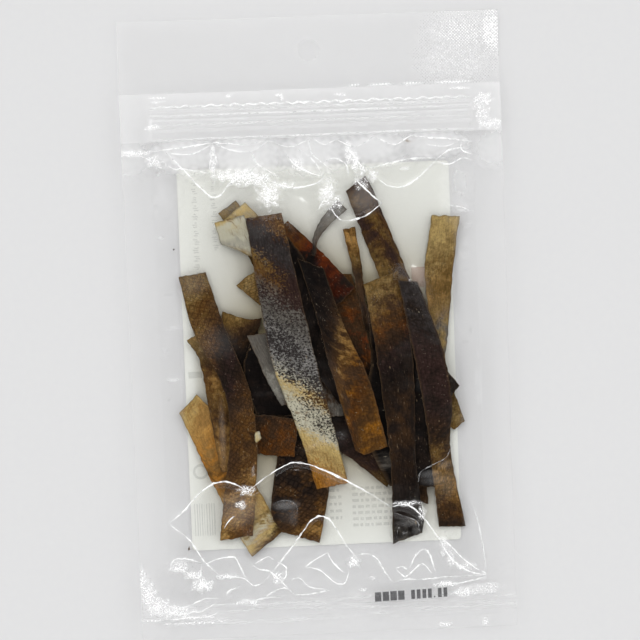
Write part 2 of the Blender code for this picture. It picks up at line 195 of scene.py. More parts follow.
# Each strip from the bottom of the heap up: left edge, right edge, what lies between the corners
# on its top and its foot, its tones as (how far down, ground, flecks, share of flecks, how much
# more of them on the right), how far the tones lean across it, and how strongly its scale
# pockets show, how fine its flecks are and how streaky its skin is.
STRIPS = {
    "orange_left": (
        [(-53, -29.5), (-46.5, -45), (-40.5, -59), (-32.5, -77)],
        [(-42, -27.5), (-32.5, -43), (-24, -61), (-16.5, -75.5)],
        [(-50.3, -27.1), (-46.2, -23)], [(-28.2, -84.5), (-20, -78.5)],
        [(0, "tan", "straw", .55, -.2), (.3, "tan", "orange", .4, -.2),
         (.5, "umber", "orange", .2, -.2), (.62, "tan", "amber", .4), (.7, "tan", "straw", .3),
         (.82, "straw", "tan", .3), (.86, "umber", "straw", .5), (.9, "straw", "bone", .8),
         (.96, "straw", "tan", .35), (1, "bark", "umber", .4)], .1, (.15, 0, .7)),
    "khaki_right": (
        [(43.2, 40), (40, 20), (41, 0), (41, -18)], [(53.5, 39.3), (50.5, 20), (48.2, 0), (46, -18)],
        [], [],
        [(0, "straw", "khaki", .5), (.15, "khaki", "straw", .3), (.3, "olive", "khaki", .5),
         (.5, "olive", "tan", .3), (.7, "khaki", "ash", .6), (1, "khaki", "ash", .4)], .1, (.12, .2, .9)),
    "long_crossing": (
        [(11.8, 50), (22.8, 18.8), (36, -14), (46.8, -39)],
        [(21.8, 50.5), (34.3, 17), (44.6, -12), (53, -37)], [(17, 54), (19.3, 55.3)], [(49, -40)],
        [(0, "plum", "umber", .4), (.1, "bark", "umber", .4), (.17, "bark", "olive", .5),
         (.25, "plum", "umber", .4), (.36, "bark", "olive", .5), (1, "olive", "khaki", .3)],
        -.25, (.3, 0, 1)),
    "black_corner": (
        [(16, 4), (29, -9), (44.9, -31.2)], [(24, 11), (37, -5), (51.3, -23.5)], [], [],
        [(0, "black", "soot", .4), (1, "soot", "ash", .3)], 0, (.2, 0, 1)),
    "brown_end": (
        [(28, -32), (29, -50), (29.6, -67)], [(36, -32), (37.6, -50), (38.2, -67.5)], [], [(34, -66.2)],
        [(0, "soot", "bark", .4), (1, "soot", "bark", .5)], 0, (.3, 0, 1)),
    "black_gap": (
        [(26, -12), (28, -36), (30, -60)], [(36.2, -12), (38.7, -36), (40.7, -61)], [], [],
        [(0, "black", "soot", .4), (1, "black", "soot", .5)], 0, (.2, 0, 1)),
    "olive_left": (
        [(-35.5, 7.5), (-38, -10), (-40, -28)], [(-21, 4.5), (-25, -9), (-30, -30)],
        [(-30, 5.3), (-25, 4)], [],
        [(0, "olive", "khaki", .2), (.12, "bark", "olive", .2), (.3, "soot", "bark", .4),
         (.5, "soot", "black", .5), (1, "black", "soot", .5)], .3, (.3, 0, 1)),
    "golden_left": (
        [(-49, -2.7), (-44.5, -11), (-42, -28), (-38.5, -52)],
        [(-40, -1), (-35, -11), (-32, -28), (-30, -52)], [(-45.5, -0.8)], [],
        [(0, "khaki", "tan", .4), (.15, "olive", "khaki", .25), (.38, "bark", "olive", .6),
         (.5, "umber", "tan", .1), (.6, "umber", "olive", .4), (.73, "soot", "umber", .5),
         (.85, "umber", "tan", .25), (1, "tan", "umber", .4)], 0, (.3, 0, .8)),
    "black_middle": (
        [(-26, -5), (-28.6, -16), (-24, -32.5)], [(-15, -3), (-10, -17), (-7, -33)], [], [],
        [(0, "black", "soot", .35), (1, "black", "soot", .4)], 0, (.2, 0, 1)),
    "scaly": (
        [(-14, -32), (-17, -46.5), (-20.5, -67), (-16.8, -75.5)],
        [(1, -32), (3, -46.5), (0.4, -66), (-2.8, -80.3)], [], [],
        [(0, "black", "soot", .4), (.4, "soot", "bark", .4), (.6, "soot", "umber", .3, .1),
         (.8, "bark", "umber", .25, .1), (1, "umber", "tan", .3, .1)], .3, (1, 0, .8)),
    "brown_across": (
        [(-33, -31), (-33, -38), (-32, -45)], [(-9.3, -33.5), (-9.8, -40), (-11, -47.5)],
        [(-21, -31.6)], [(-21, -46.6)],
        [(0, "soot", "bark", .5), (.3, "bark", "rust", .35), (1, "bark", "rust", .6)], 0, (.6, 0, .9)),
    "silver_side": (
        [(-26.7, -1.8), (-20, -18.5), (-15, -28.3)], [(-15, -0.5), (-9.5, -15), (-7, -27)], [], [],
        [(0, "ash", "bark", .2), (.5, "ash", "silver", .35), (.7, "silver", "ash", .4),
         (1, "ash", "bark", .4)], 0, (.1, .3, .6)),
    "olive_end": (
        [(-35.5, 43.7), (-25, 27.5), (-18, 8)], [(-28.8, 48.2), (-17, 30), (-9, 10)], [], [],
        [(0, "khaki", "ash", .3), (.2, "khaki", "olive", .4), (.5, "olive", "umber", .5),
         (1, "bark", "olive", .4)], 0, (.1, 0, .6)),
    "cream_corner": (
        [(-34, 40.7), (-26, 32), (-18, 23)], [(-25.5, 47.5), (-17.5, 38.4), (-10, 30)], [], [],
        [(0, "straw", "bone", .4), (.3, "straw", "khaki", .4), (1, "tan", "straw", .5)], 0, (.05, 0, .5)),
    "pale_square": (
        [(-37, 40.3), (-36, 36), (-35, 32.3)], [(-26, 42.8), (-22.5, 34), (-19, 25)], [], [(-29, 29.7)],
        [(0, "straw", "cream", .4), (.1, "bone", "cream", .25), (.6, "bone", "silver", .15),
         (.85, "silver", "bone", .4), (1, "khaki", "bone", .5)], .3, (0, 0, .25)),
    "olive_tip": (
        [(-30, 16.8), (-22, 9.7), (-10, -1)], [(-22.5, 22), (-13, 15), (-4, 7)], [(-25.8, 20.2)], [],
        [(0, "olive", "khaki", .5), (.5, "olive", "bark", .5), (1, "bark", "soot", .4)], 0, (.7, .5, 1)),
    "amber_under": (
        [(2, 20), (5, 0), (10, -28)], [(12.8, 19.5), (17.4, 0), (22, -30)], [], [],
        [(0, "bark", "umber", .5), (.3, "bark", "rust", .45), (.55, "bark", "red", .35),
         (.75, "soot", "rust", .25), (1, "soot", "umber", .4)], 0, (.25, 0, 1)),
    "red_orange": (
        [(-19, 32), (-7, 18), (5, 6)], [(-10, 40), (2, 28), (14, 14.4)], [(-14, 36.5)], [],
        [(0, "umber", "rust", .5), (.15, "bark", "rust", .5), (.27, "wine", "rust", .7),
         (.38, "soot", "red", .4, .3), (.5, "black", "red", .1, .5), (.61, "wine", "red", .15, .5),
         (.73, "wine", "red", .1, .4), (.84, "soot", "wine", .6), (1, "soot", "wine", .4)],
        .1, (.1, .15, 1)),
    "narrow_upright": (
        [(10.2, 36), (13, 22), (15, 10), (17, -2)], [(14.8, 36.8), (16.6, 22), (17.6, 10), (20, -2)],
        [], [],
        [(0, "umber", "tan", .42), (.14, "umber", "tan", .6), (.25, "umber", "olive", .5),
         (.38, "soot", "bark", .4), (.5, "bark", "umber", .4), (.7, "bark", "soot", .5),
         (1, "soot", "bark", .4)], 0, (.3, 0, 1)),
    "dark_diagonal": (
        [(-5, -25), (3, -43), (11, -50), (23, -60.5)], [(8, -24), (14, -36), (21, -46), (28, -55)],
        [], [],
        [(0, "soot", "black", .4), (.5, "soot", "plum", .5), (.8, "plum", "bark", .45),
         (1, "bark", "olive", .35)], 0, (.2, 0, 1)),
    "black_foot": (
        [(18.6, 1), (18.6, -14), (15, -33), (18.3, -48), (24, -60)],
        [(21.5, 2), (24.5, -15), (26, -33), (28, -47), (33, -58)], [], [],
        [(0, "black", "soot", .4), (.6, "black", "soot", .3), (1, "black", "ash", .2)], 0, (.2, 0, 1)),
    "grey_triangle": (
        [(-6, -15), (-4, -24), (-2, -33)], [(5, -18), (7, -25), (8, -33)], [], [],
        [(0, "bark", "ash", .4), (1, "bark", "ash", .5)], 0, (.1, 0, 1)),
    "dark_beside": (
        [(-19, 33), (-12, 8), (-4, -12), (6, -28)], [(-11.5, 36), (-2, 20), (3, -8), (8, -29)], [], [],
        [(0, "black", "soot", .4), (.5, "black", "soot", .5), (1, "soot", "black", .4)], 0, (.3, 0, 1)),
    "brown_long": (
        [(-7, 26), (-1, 5), (3.5, -15), (11.8, -46.2)],
        [(2.5, 22), (9.5, 0), (17.5, -19), (23.8, -45)], [], [(15, -48)],
        [(0, "black", "soot", .15), (.3, "black", "soot", .6), (.42, "soot", "bark", .4, .2),
         (.52, "bark", "tan", .2, .3), (.62, "umber", "tan", .3, .2), (.7, "bark", "amber", .3, .1),
         (.8, "bark", "rust", .5), (.9, "bark", "umber", .5), (1, "umber", "amber", .3)],
        .35, (.3, 0, .9)),
    "curled_sliver": (
        [(8.8, 46.8), (3, 41), (-0.5, 34.5), (-1.6, 27)],
        [(12, 43.3), (5.6, 38), (1.2, 32.5), (-0.4, 26.5)], [], [],
        [(0, "ash", "silver", .4), (.7, "ash", "bark", .5), (.85, "soot", "bark", .4),
         (1, "black", "soot", .4)], 0, (.1, 0, 1)),
    "long_left": (
        [(-51, 20.8), (-46.2, 0), (-36.5, -20), (-34.5, -38), (-37.5, -60), (-39.8, -77.8)],
        [(-41, 22.2), (-35, 2), (-27, -20), (-24.5, -40), (-25.8, -60), (-27.5, -76.5)], [], [],
        [(0, "olive", "khaki", .3), (.12, "umber", "olive", .4), (.22, "bark", "umber", .45),
         (.3, "soot", "plum", .3), (.38, "soot", "plum", .4), (.5, "bark", "umber", .4),
         (.64, "bark", "umber", .4), (.74, "umber", "tan", .12), (.8, "umber", "tan", .5),
         (.88, "tan", "straw", .1), (.94, "umber", "tan", .6), (1, "umber", "rust", .3)],
        .15, (.6, 0, .9)),
    "black_broad": (
        [(17, 15.5), (19.5, 0), (22, -22), (24.6, -50), (24.5, -82)],
        [(30, 20), (33, 0), (34.5, -22), (34, -50), (36.5, -74)], [], [(30.5, -79.9), (35.5, -78.6)],
        [(0, "olive", "khaki", .35), (.12, "bark", "olive", .5), (.25, "bark", "rust", .4),
         (.35, "soot", "plum", .4), (.45, "soot", "black", .4), (.6, "soot", "bark", .45),
         (.85, "soot", "black", .4), (1, "black", "ash", .3)], .1, (.25, 0, 1)),
    "dark_right": (
        [(30, 16.5), (33.6, -6), (38, -33), (39.8, -52), (42, -76.4)],
        [(37, 15.8), (45, -8), (48.2, -30), (47.3, -48), (52, -76.5)], [], [],
        [(0, "char", "soot", .4), (.18, "char", "soot", .5), (.27, "soot", "plum", .6),
         (.4, "soot", "plum", .7), (.5, "soot", "plum", .5), (.64, "soot", "bark", .4),
         (.75, "bark", "olive", .45), (.84, "olive", "tan", .35), (.92, "bark", "umber", .4),
         (1, "soot", "bark", .5)], -.05, (.3, .35, 1)),
    "front_speckled": (
        [(-25.5, 41.5), (-22, 14), (-17.6, -13), (-9.5, -37), (-3, -60)],
        [(-12.2, 43), (-6.7, 14), (-1.4, -13), (4, -37), (8.7, -58.3)], [], [],
        [(0, "umber", "tan", .3), (.04, "plum", "umber", .3, .1), (.07, "char", "ash", .12),
         (.12, "char", "ash", .15), (.165, "plum", "olive", .45, -.35),
         (.22, "plum", "umber", .5, -.4), (.28, "plum", "ash", .4), (.35, "char", "ash", .6),
         (.44, "char", "steel", .38, .05), (.52, "char", "steel", .46, -.05),
         (.57, "char", "bone", .4, -.15), (.61, "umber", "straw", .62, -.25),
         (.66, "char", "bone", .58, -.2), (.72, "soot", "bone", .55, -.08),
         (.77, "soot", "bone", .67, -.05), (.81, "umber", "straw", .9), (.84, "khaki", "straw", .9),
         (.9, "straw", "tan", .35), (.93, "tan", "orange", .3), (1, "amber", "orange", .3)],
        -.1, (.1, 1, 1)),
    "cream_crumb": (
        [(-25.2, -37.9), (-25.4, -40.6)], [(-23.4, -37.2), (-22.9, -39.8)],
        [(-24.3, -37.2)], [(-24.4, -41.4)],
        [(0, "bone", "cream", .4), (1, "bone", "straw", .4)], 0, (0, 0, .4)),
    "brown_crumb": (
        [(34.1, 67.7), (35.0, 67.2)], [(34.9, 68.2), (36.3, 67.3)], [], [],
        [(0, "tan", "straw", .4), (1, "tan", "amber", .4)], 0, (0, 0, 1)),
    "dark_crumb": (
        [(-51.8, -79.9), (-51.9, -81)], [(-51.3, -79.8), (-51.2, -81)], [], [],
        [(0, "tan", "olive", .4), (1, "olive", "umber", .4)], 0, (0, 0, 1)),
    "dark_speck": (
        [(-52.6, 31.3), (-52.6, 30.7)], [(-52, 31.3), (-52, 30.7)], [], [],
        [(0, "soot", "bark", .4), (1, "bark", "umber", .4)], 0, (0, 0, 1)),
}

GRID_X, GRID_Y = np.meshgrid(np.arange(-HALF_X, HALF_X + CELL / 2, CELL),
                             np.arange(-HALF_Y, HALF_Y + CELL / 2, CELL))


def between(field, i, j):
    """A field read linearly between its cells, at columns i and rows j."""
    i, j = np.clip(i, 0, field.shape[1] - 1.001), np.clip(j, 0, field.shape[0] - 1.001)
    i0, j0 = i.astype(int), j.astype(int)
    fi, fj = i - i0, j - j0
    low = field[j0, i0] * (1 - fi) + field[j0, i0 + 1] * fi
    high = field[j0 + 1, i0] * (1 - fi) + field[j0 + 1, i0 + 1] * fi
    return low * (1 - fj) + high * fj


def at(field, x, y):
    """A field over the pouch, read at any points."""
    return between(field, (x + HALF_X) / CELL, (y + HALF_Y) / CELL)


def ease(t):
    """A soft step from 0 to 1."""
    t = np.clip(t, 0, 1)
    return t * t * (3 - 2 * t)


def curve(a, b, c, d, f):
    """The share f of the way from b to c, on a smooth curve that comes from a and goes on to d."""
    return b + f * (c - a) / 2 + f**2 * (2 * a - 5 * b + 4 * c - d) / 2 + f**3 * (3 * b - a - 3 * c + d) / 2


def along(points, t):
    """Points at the fractions t of a smooth curve through a few given points."""
    p = np.array(points, float)
    if len(p) == 2:
        return p[0] + np.outer(t, p[1] - p[0])
    p = np.vstack([2 * p[0] - p[1], p, 2 * p[-1] - p[-2]])
    s = np.clip(np.asarray(t) * (len(p) - 3), 0, len(p) - 3 - 1e-9)
    k = s.astype(int)
    return curve(p[k], p[k + 1], p[k + 2], p[k + 3], (s - k)[:, None])


def straight(points, t):
    """Points at the fractions t of the straight runs through a few given points."""
    p = np.array(points, float)
    return np.stack([np.interp(t, np.linspace(0, 1, len(p)), p[:, k]) for k in (0, 1)], -1)


def wander(rng, count, reach):
    """Smooth random numbers, one for each of count steps, that vary over reach steps."""
    knots = rng.normal(0, 1, max(4, int(count / reach) + 3))
    return np.interp(np.linspace(0, len(knots) - 1, count), np.arange(len(knots)), knots)


def rippled(rng, rows, columns):
    """Smooth random numbers over the cells of a strip."""
    sides = (rows, columns)
    knots = rng.normal(0, 1, [max(3, int(side * SKIN_STEP / RIPPLE_SIZE) + 2) for side in sides])
    for side in sides:
        place = np.linspace(0, knots.shape[0] - 1.001, side)
        k = place.astype(int)
        f = ease(place - k)[:, None]
        knots = (knots[k] * (1 - f) + knots[k + 1] * f).T
    return np.clip(knots, -1, 1)


def patch(left, right, top, foot, rng):
    """A strip in plan, as a grid of points: rows run down it and columns across it."""
    v, u = (np.linspace(0, 1, max(least, int(np.hypot(*np.subtract(left[0], end)) / SKIN_STEP)))
            for least, end in ((8, left[-1]), (6, right[0])))
    west, east = along(left, v), along(right, v)
    north = straight([left[0], *top, right[0]], u)
    south = straight([left[-1], *foot, right[-1]], u)
    for side, t, axis, uneven, reach, taper in (
            (west, v, 0, RAGGED, 3, .2), (east, v, 0, RAGGED, 3, .2),
            (north, u, 1, RAGGED, 2, .3), (south, u, 1, 1.6 * RAGGED, 1.5, .3)):
        side[:, axis] += uneven * wander(rng, len(t), reach) * np.sin(np.pi * t)**taper
    west, east, north, south = west[:, None], east[:, None], north[None], south[None]
    u, v = u[None, :, None], v[:, None, None]
    corners = ((1 - u) * (1 - v) * west[:1] + u * (1 - v) * east[:1]
               + (1 - u) * v * west[-1:] + u * v * east[-1:])
    return (1 - u) * west + u * east + (1 - v) * north + v * south - corners


def spread(heights, reach, pick):
    """The pick, such as the largest, of the heights within reach cells on all sides."""
    for axis in (0, 1):
        margin = [(0, 0), (0, 0)]
        margin[axis] = (reach, reach)
        padded = np.pad(heights, margin, "edge")
        own = np.arange(heights.shape[axis])
        heights = pick([np.take(padded, own + k, axis) for k in range(2 * reach + 1)], 0)
    return heights


def bridged(heights, reach):
    """What a stiff sheet makes of the heights under it: it lies on the tops and spans the gaps."""
    return spread(spread(heights, reach, np.max), reach, np.mean)


def new_piece(name, verts, faces, material):
    """A piece that rides on the root body, from its points in mm and its faces."""
    mesh = bpy.data.meshes.new(name)
    mesh.from_pydata((np.asarray(verts) * MM).tolist(), [], faces)
    mesh.materials.append(material)
    piece = bpy.data.objects.new(name, mesh)
    bpy.context.scene.collection.objects.link(piece)
    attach(piece, "root")
    return piece


def quads(index):
    """The faces between a grid's points, from the grid of their numbers."""
    return np.stack([index[:-1, :-1], index[:-1, 1:], index[1:, 1:], index[1:, :-1]], -1).reshape(-1, 4)


def paint(piece, name, values):
    """Gives each vertex of a piece its own number, vector or colour under a name."""
    width = np.size(values) // len(piece.data.vertices)
    kind, field = {1: ("FLOAT", "value"), 3: ("FLOAT_VECTOR", "vector"), 4: ("FLOAT_COLOR", "color")}[width]
    layer = piece.data.attributes.new(name, kind, "POINT")
    layer.data.foreach_set(field, np.ascontiguousarray(values, np.float32).ravel())


# Dried fish skin: a thin hard leather, oily and part see-through, dark on the back of the
# fish and silver to cream towards its belly. Its colour lies in blotches, in streaks along
# the fibres and in specks, over the net of its scale pockets. Cut edges are paler.
SCALE_POCKET = 1.4                   # mm between scale pockets
BLOTCH, SPECK, GRAIN, FIBRE = 4.5, 0.72, 0.8, 0.42       # mm across each kind of patch
PALE_SPECK, TEAR = 0.4, 0.5               # and across a pale speck, and torn fibres
# Fibres and torn fibres are drawn in bundles, as one by one they are too fine to show.
FIBRE_LEAN, FIBRE_STRETCH = radians(35), 0.16
NET_LEAN, NET_SHAPE = radians(14), (0.95, 1.2, 1)
NET_BEND, NET_STRAY = 4.0, 2.5       # mm from bend to bend of the net's lines, and how far they stray
NET_DARK, NET_LIGHT = 0.34, 1.3      # the skin's tone on the net's lines, and in a pocket
CRACKS, CRACK_WIDE, CRACK_BROWN = 8.0, 0.35, "#6b4a22"   # mm between cracks, and across one
CRACK_BEND, CRACK_STRAY = 2.0, 3.0   # mm from bend to bend of a crack, and how far it strays
SKIN_RELIEF = 0.1                    # mm that the grain and the bundles of fibres stand up
dried_skin, tree = new_material("dried_salmon_skin")
ground, flecks, cut_edge, grain, trait, edge, streaky = (
    add(tree, "Attribute", attribute_name=name)
    for name in ("ground_tone", "fleck_tone", "cut_tone", "grain", "trait", "edge", "streaky"))
grain = grain.outputs["Vector"]
flecked, pocketed, speckled = add(tree, "SeparateXYZ", trait.outputs["Vector"]).outputs
slanted = add(tree, "Mapping", {
    "Vector": grain, "Rotation": (0, 0, FIBRE_LEAN), "Scale": (1, FIBRE_STRETCH, 1)})
patches = {}
for name, size, detail, rough, place in (
        ("blotch", BLOTCH, 5, .68, grain), ("speck", SPECK, 3, .75, grain), ("grain", GRAIN, 3, .65, grain),
        ("fibre", FIBRE, 3, .6, slanted), ("flake", PALE_SPECK, 1, .5, grain), ("tear", TEAR, 1, .5, slanted)):
    patches[name] = add(tree, "TexNoise", place, 1 / size, detail, rough)
fine = add(tree, "Mix", 0.68, patches["blotch"], patches["speck"])
field = add(tree, "Mix", speckled, patches["blotch"], fine)
cut = add(tree, "Math", flecked, -0.34, 0.67, operation="MULTIPLY_ADD")
above = add(tree, "Math", field, cut, operation="SUBTRACT")
soft = add(tree, "MapRange", speckled, 0, 1, 0.12, 0.05)
low = add(tree, "Math", soft, -1.0, operation="MULTIPLY")
shown = add(tree, "MapRange", above, low, soft, interpolation_type="SMOOTHSTEP")
tone = add(tree, "Mix", shown, ground, flecks, data_type="RGBA")

# the net of scale pockets: rows of diamonds, drawn as dark lines with the pocket between
net_place = add(tree, "Mapping", {"Vector": grain, "Rotation": (0, 0, NET_LEAN), "Scale": NET_SHAPE})
warp = add(tree, "TexNoise", grain, 1 / NET_BEND, 1).outputs["Color"]
warped = add(tree, "VectorMath", warp, (NET_STRAY, NET_STRAY, 0), net_place, operation="MULTIPLY_ADD")
sides = add(tree, "SeparateXYZ", warped)
lines = []
for turn in ("ADD", "SUBTRACT"):
    mixed = add(tree, "Math", sides.outputs["X"], sides.outputs["Y"], operation=turn)
    phase = add(tree, "Math", mixed, np.pi / (SCALE_POCKET * 2**.5), operation="MULTIPLY")
    lines.append(add(tree, "Math", add(tree, "Math", phase, operation="SINE"), operation="ABSOLUTE"))
pocket = add(tree, "Math", *lines, operation="MINIMUM")
net = add(tree, "MapRange", pocket, 0, 0.6, NET_DARK, NET_LIGHT, interpolation_type="SMOOTHSTEP")
shade = add(tree, "Mix", pocketed, 1.0, net)
for name, least, most in (("grain", .78, 1.22), ("fibre", .62, 1.38)):
    by = add(tree, "MapRange", patches[name], 0.32, 0.68, least, most)
    shade = add(tree, "Math", shade, by, operation="MULTIPLY")
paleness = add(tree, "RGBToBW", tone)
depth = add(tree, "MapRange", paleness, 0.15, 0.5, 1.0, 0.3)         # all this shows less where it is pale
depth = add(tree, "Math", depth, streaky.outputs["Fac"], operation="MULTIPLY")
shade = add(tree, "Mix", depth, 1.0, shade)
skin_colour = add(tree, "VectorMath", tone, shade, operation="SCALE")

# pale specks, and torn fibres that stand off the skin, crowded in places
crowded = add(tree, "MapRange", patches["blotch"], 0.46, 0.6)
for name, first, full, pale in (("flake", .735, .775, "#a39a86"), ("tear", .69, .745, "#7c6a52")):
    marked = add(tree, "MapRange", patches[name], first, full)
    marked = add(tree, "Math", marked, crowded, operation="MULTIPLY")
    skin_colour = add(tree, "Mix", marked, skin_colour, srgb(pale), data_type="RGBA")

# thin brown cracks where the skin is pale
cracked = add(tree, "TexNoise", grain, 1 / CRACK_BEND, 3)
bent = add(tree, "VectorMath", cracked.outputs["Color"], (CRACK_STRAY, CRACK_STRAY, 0), grain,
           operation="MULTIPLY_ADD")
cells = add(tree, "TexVoronoi", bent, 1 / CRACKS, feature="DISTANCE_TO_EDGE")
crack = add(tree, "MapRange", cells, 0, CRACK_WIDE / CRACKS, 1.0, 0.0)
for value, first, full, most in ((cracked, .45, .6, 1.0), (paleness, .18, .3, .75)):
    here = add(tree, "MapRange", value, first, full, 0.0, most)
    crack = add(tree, "Math", crack, here, operation="MULTIPLY")
skin_colour = add(tree, "Mix", crack, skin_colour, srgb(CRACK_BROWN), data_type="RGBA")
edge_share = add(tree, "Math", edge.outputs["Fac"], patches["grain"], operation="MULTIPLY")
skin_colour = add(tree, "Mix", edge_share, skin_colour, cut_edge, data_type="RGBA")
height = add(tree, "Math", patches["grain"], 0.5, patches["fibre"], operation="MULTIPLY_ADD")
relief = add(tree, "Bump", {"Strength": 0.6, "Distance": SKIN_RELIEF * MM, "Height": height})
add(tree, "OutputMaterial", add(tree, "BsdfPrincipled", {
    "Base Color": skin_colour, "Roughness": 0.34, "Specular IOR Level": 0.08, "Normal": relief}))

# The sealed margins wave a little, the header lies lower, and one corner of the foot stands up.
wave = 0.5 * np.sin(GRID_Y / 31 + 1) * GRID_X / HALF_X + 0.3 * np.sin(GRID_Y / 19)
sunk = ease((GRID_Y - ZIP_TOP) / 18) * (0.5 * np.cos(GRID_X / 38 - 0.6) - HEADER_SINK)
raised = CORNER_RISE * ease((-GRID_X - 40) / 30) * ease((-GRID_Y - 90) / 25)
seam = SEAM_HEIGHT + wave + sunk + raised
# The back of the pouch is flat over the label, then rises to the seams.
flat_x, flat_high = (LABEL_HIGH[k] + BACK_MARGIN for k in (0, 1))
flat_low = LABEL_LOW.y - BACK_MARGIN
rise = np.maximum((GRID_Y - flat_high) / (ZIP_FOOT - flat_high), (flat_low - GRID_Y) / (flat_low - SEAL_Y))
rise = np.maximum(rise, (abs(GRID_X) - flat_x) / (SEAL_X - flat_x))
back = BACK + (seam - PLY / 2 - BACK) * ease(rise)

heap_top = back.copy()
bulk_top = back.copy()               # the same heap with every strip held up by its cupping
for number, (name, (left, right, top, foot, tones, lean, traits)) in enumerate(STRIPS.items()):
    rng = np.random.default_rng(100 + number)
    plan = patch(left, right, top, foot, rng)
    rows, columns = plan.shape[:2]
    u, v = np.linspace(-1, 1, columns)[None], np.linspace(0, 1, rows)[:, None]
    cupped, tipped = wander(rng, rows, CUP_ROWS)[:, None], wander(rng, rows, TIP_ROWS)[:, None]
    cup = np.where(cupped > 0, u**2, 1 - u**2) * np.minimum(abs(cupped) * 1.4, 1)
    cup = (1 - SKIN_TIP) * cup + SKIN_TIP * (1 + u * np.clip(tipped, -1, 1)) / 2
    under = at(heap_top, plan[..., 0], plan[..., 1])
    low = np.maximum(bridged(under, SPAN), under) + SKIN_REST + SKIN_CUP * cup
    low += RIPPLE * rippled(rng, rows, columns)
    high = low + SKIN_THICK
    # a thin closed mesh: the upper side, the under side, and the wall of cut edges round them
    index = np.arange(rows * columns).reshape(rows, columns)
    rim = np.concatenate([index[0, :-1], index[:-1, -1], index[-1, :0:-1], index[:0:-1, 0]])
    after = np.roll(rim, -1)
    wall = np.stack([rim, rim + index.size, after + index.size, after], -1)
    upper = quads(index)[:, [0, 3, 2, 1]] + index.size
    verts = np.concatenate([np.dstack([plan, side]).reshape(-1, 3) for side in (low, high)])
    faces = np.concatenate([upper, quads(index), wall])
    piece = new_piece("strip_" + name, verts, faces.tolist(), dried_skin)
    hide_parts("pouch")
    piece.data.shade_smooth()
    piece.data.set_sharp_from_angle(angle=radians(50))     # only the cut edges are sharp

    stops, ground_tones, fleck_tones, shares = list(zip(*(tone[:4] for tone in tones)))
    where = np.clip(v + lean * u / 2, 0, 1) + TONE_STRAY * rng.normal(size=(rows, columns))
    painted = []
    for names in (ground_tones, fleck_tones):
        colours = np.array([srgb(SKIN_TONES[tone]) for tone in names]) / FILM_PASS
        painted.append(np.dstack([np.interp(where, stops, colours[:, k]) for k in range(4)]))
    rightward = np.interp(where, stops, [sum(tone[4:]) for tone in tones])
    share = np.clip(np.interp(where, stops, shares) + rightward * u, 0, 1)
    pockets, speckled, streaky = traits
    across, down = np.meshgrid(np.arange(columns) * SKIN_STEP, np.arange(rows) * SKIN_STEP)
    pale = (painted[0][..., 1:2] > PALE_SKIN) * 1.0
    on_rim = np.isin(index, rim) * 1.0
    for layer, values in (
            ("grain", np.dstack([across, down, np.full_like(across, SKIN_APART * number)])),
            ("ground_tone", painted[0]), ("fleck_tone", painted[1]),
            ("trait", np.dstack([share, np.full_like(share, pockets), np.full_like(share, speckled)])),
            ("edge", on_rim), ("streaky", np.full_like(share, streaky)),
            ("cut_tone", pale * srgb(DARK_EDGE) + (1 - pale) * srgb(PALE_EDGE))):
        paint(piece, layer, np.concatenate([values.reshape(rows * columns, -1)] * 2))
    cells = tuple(np.rint((plan[..., k] + half) / CELL).astype(int) for k, half in ((1, HALF_Y), (0, HALF_X)))
    np.maximum.at(heap_top, cells, high)
    under = at(bulk_top, plan[..., 0], plan[..., 1])
    full = np.maximum(bridged(under, SPAN), under) + (SKIN_REST + SKIN_CUP) + SKIN_THICK
    np.maximum.at(bulk_top, cells, full)


# ---------------------------------------------------------------- the clear film, and its front sheet
# Two sheets of clear laminate, heat-sealed along three sides, with a press zip under a fused
# header. The front sheet is drawn down over the strips by the little air inside, and its slack
# stands up in thin stiff creases, most of them under the zip and along the foot.
FILM_GAP, FILM_SPAN = 0.4, 9         # mm over the strips, and cells it bridges on each side
SLACK = 0.010                        # mm that each cell of the sheet is pulled down between its holds
SWEEPS, OVERSHOOT = 500, 1.95
PUCKER_PITCH, PUCKER_DEPTH, PUCKER_REACH = 10.0, 0.4, 9.0
CREASE_WIDTH, CRUSHED_WIDTH, CREASE_STEP = 1.2, 0.95, 1.5
RIB_PITCH, RIB_HEIGHT, RIB_SWAY, RIBS_DEEP = 1.15, 0.06, 0.35, 8    # of the ribs pressed into the foot seal
FRONT_CELL, SIDE_CELL, FOOT_CELL, RIB_CELL = 0.53, 0.9, 0.5, 0.25   # of the front sheet's mesh

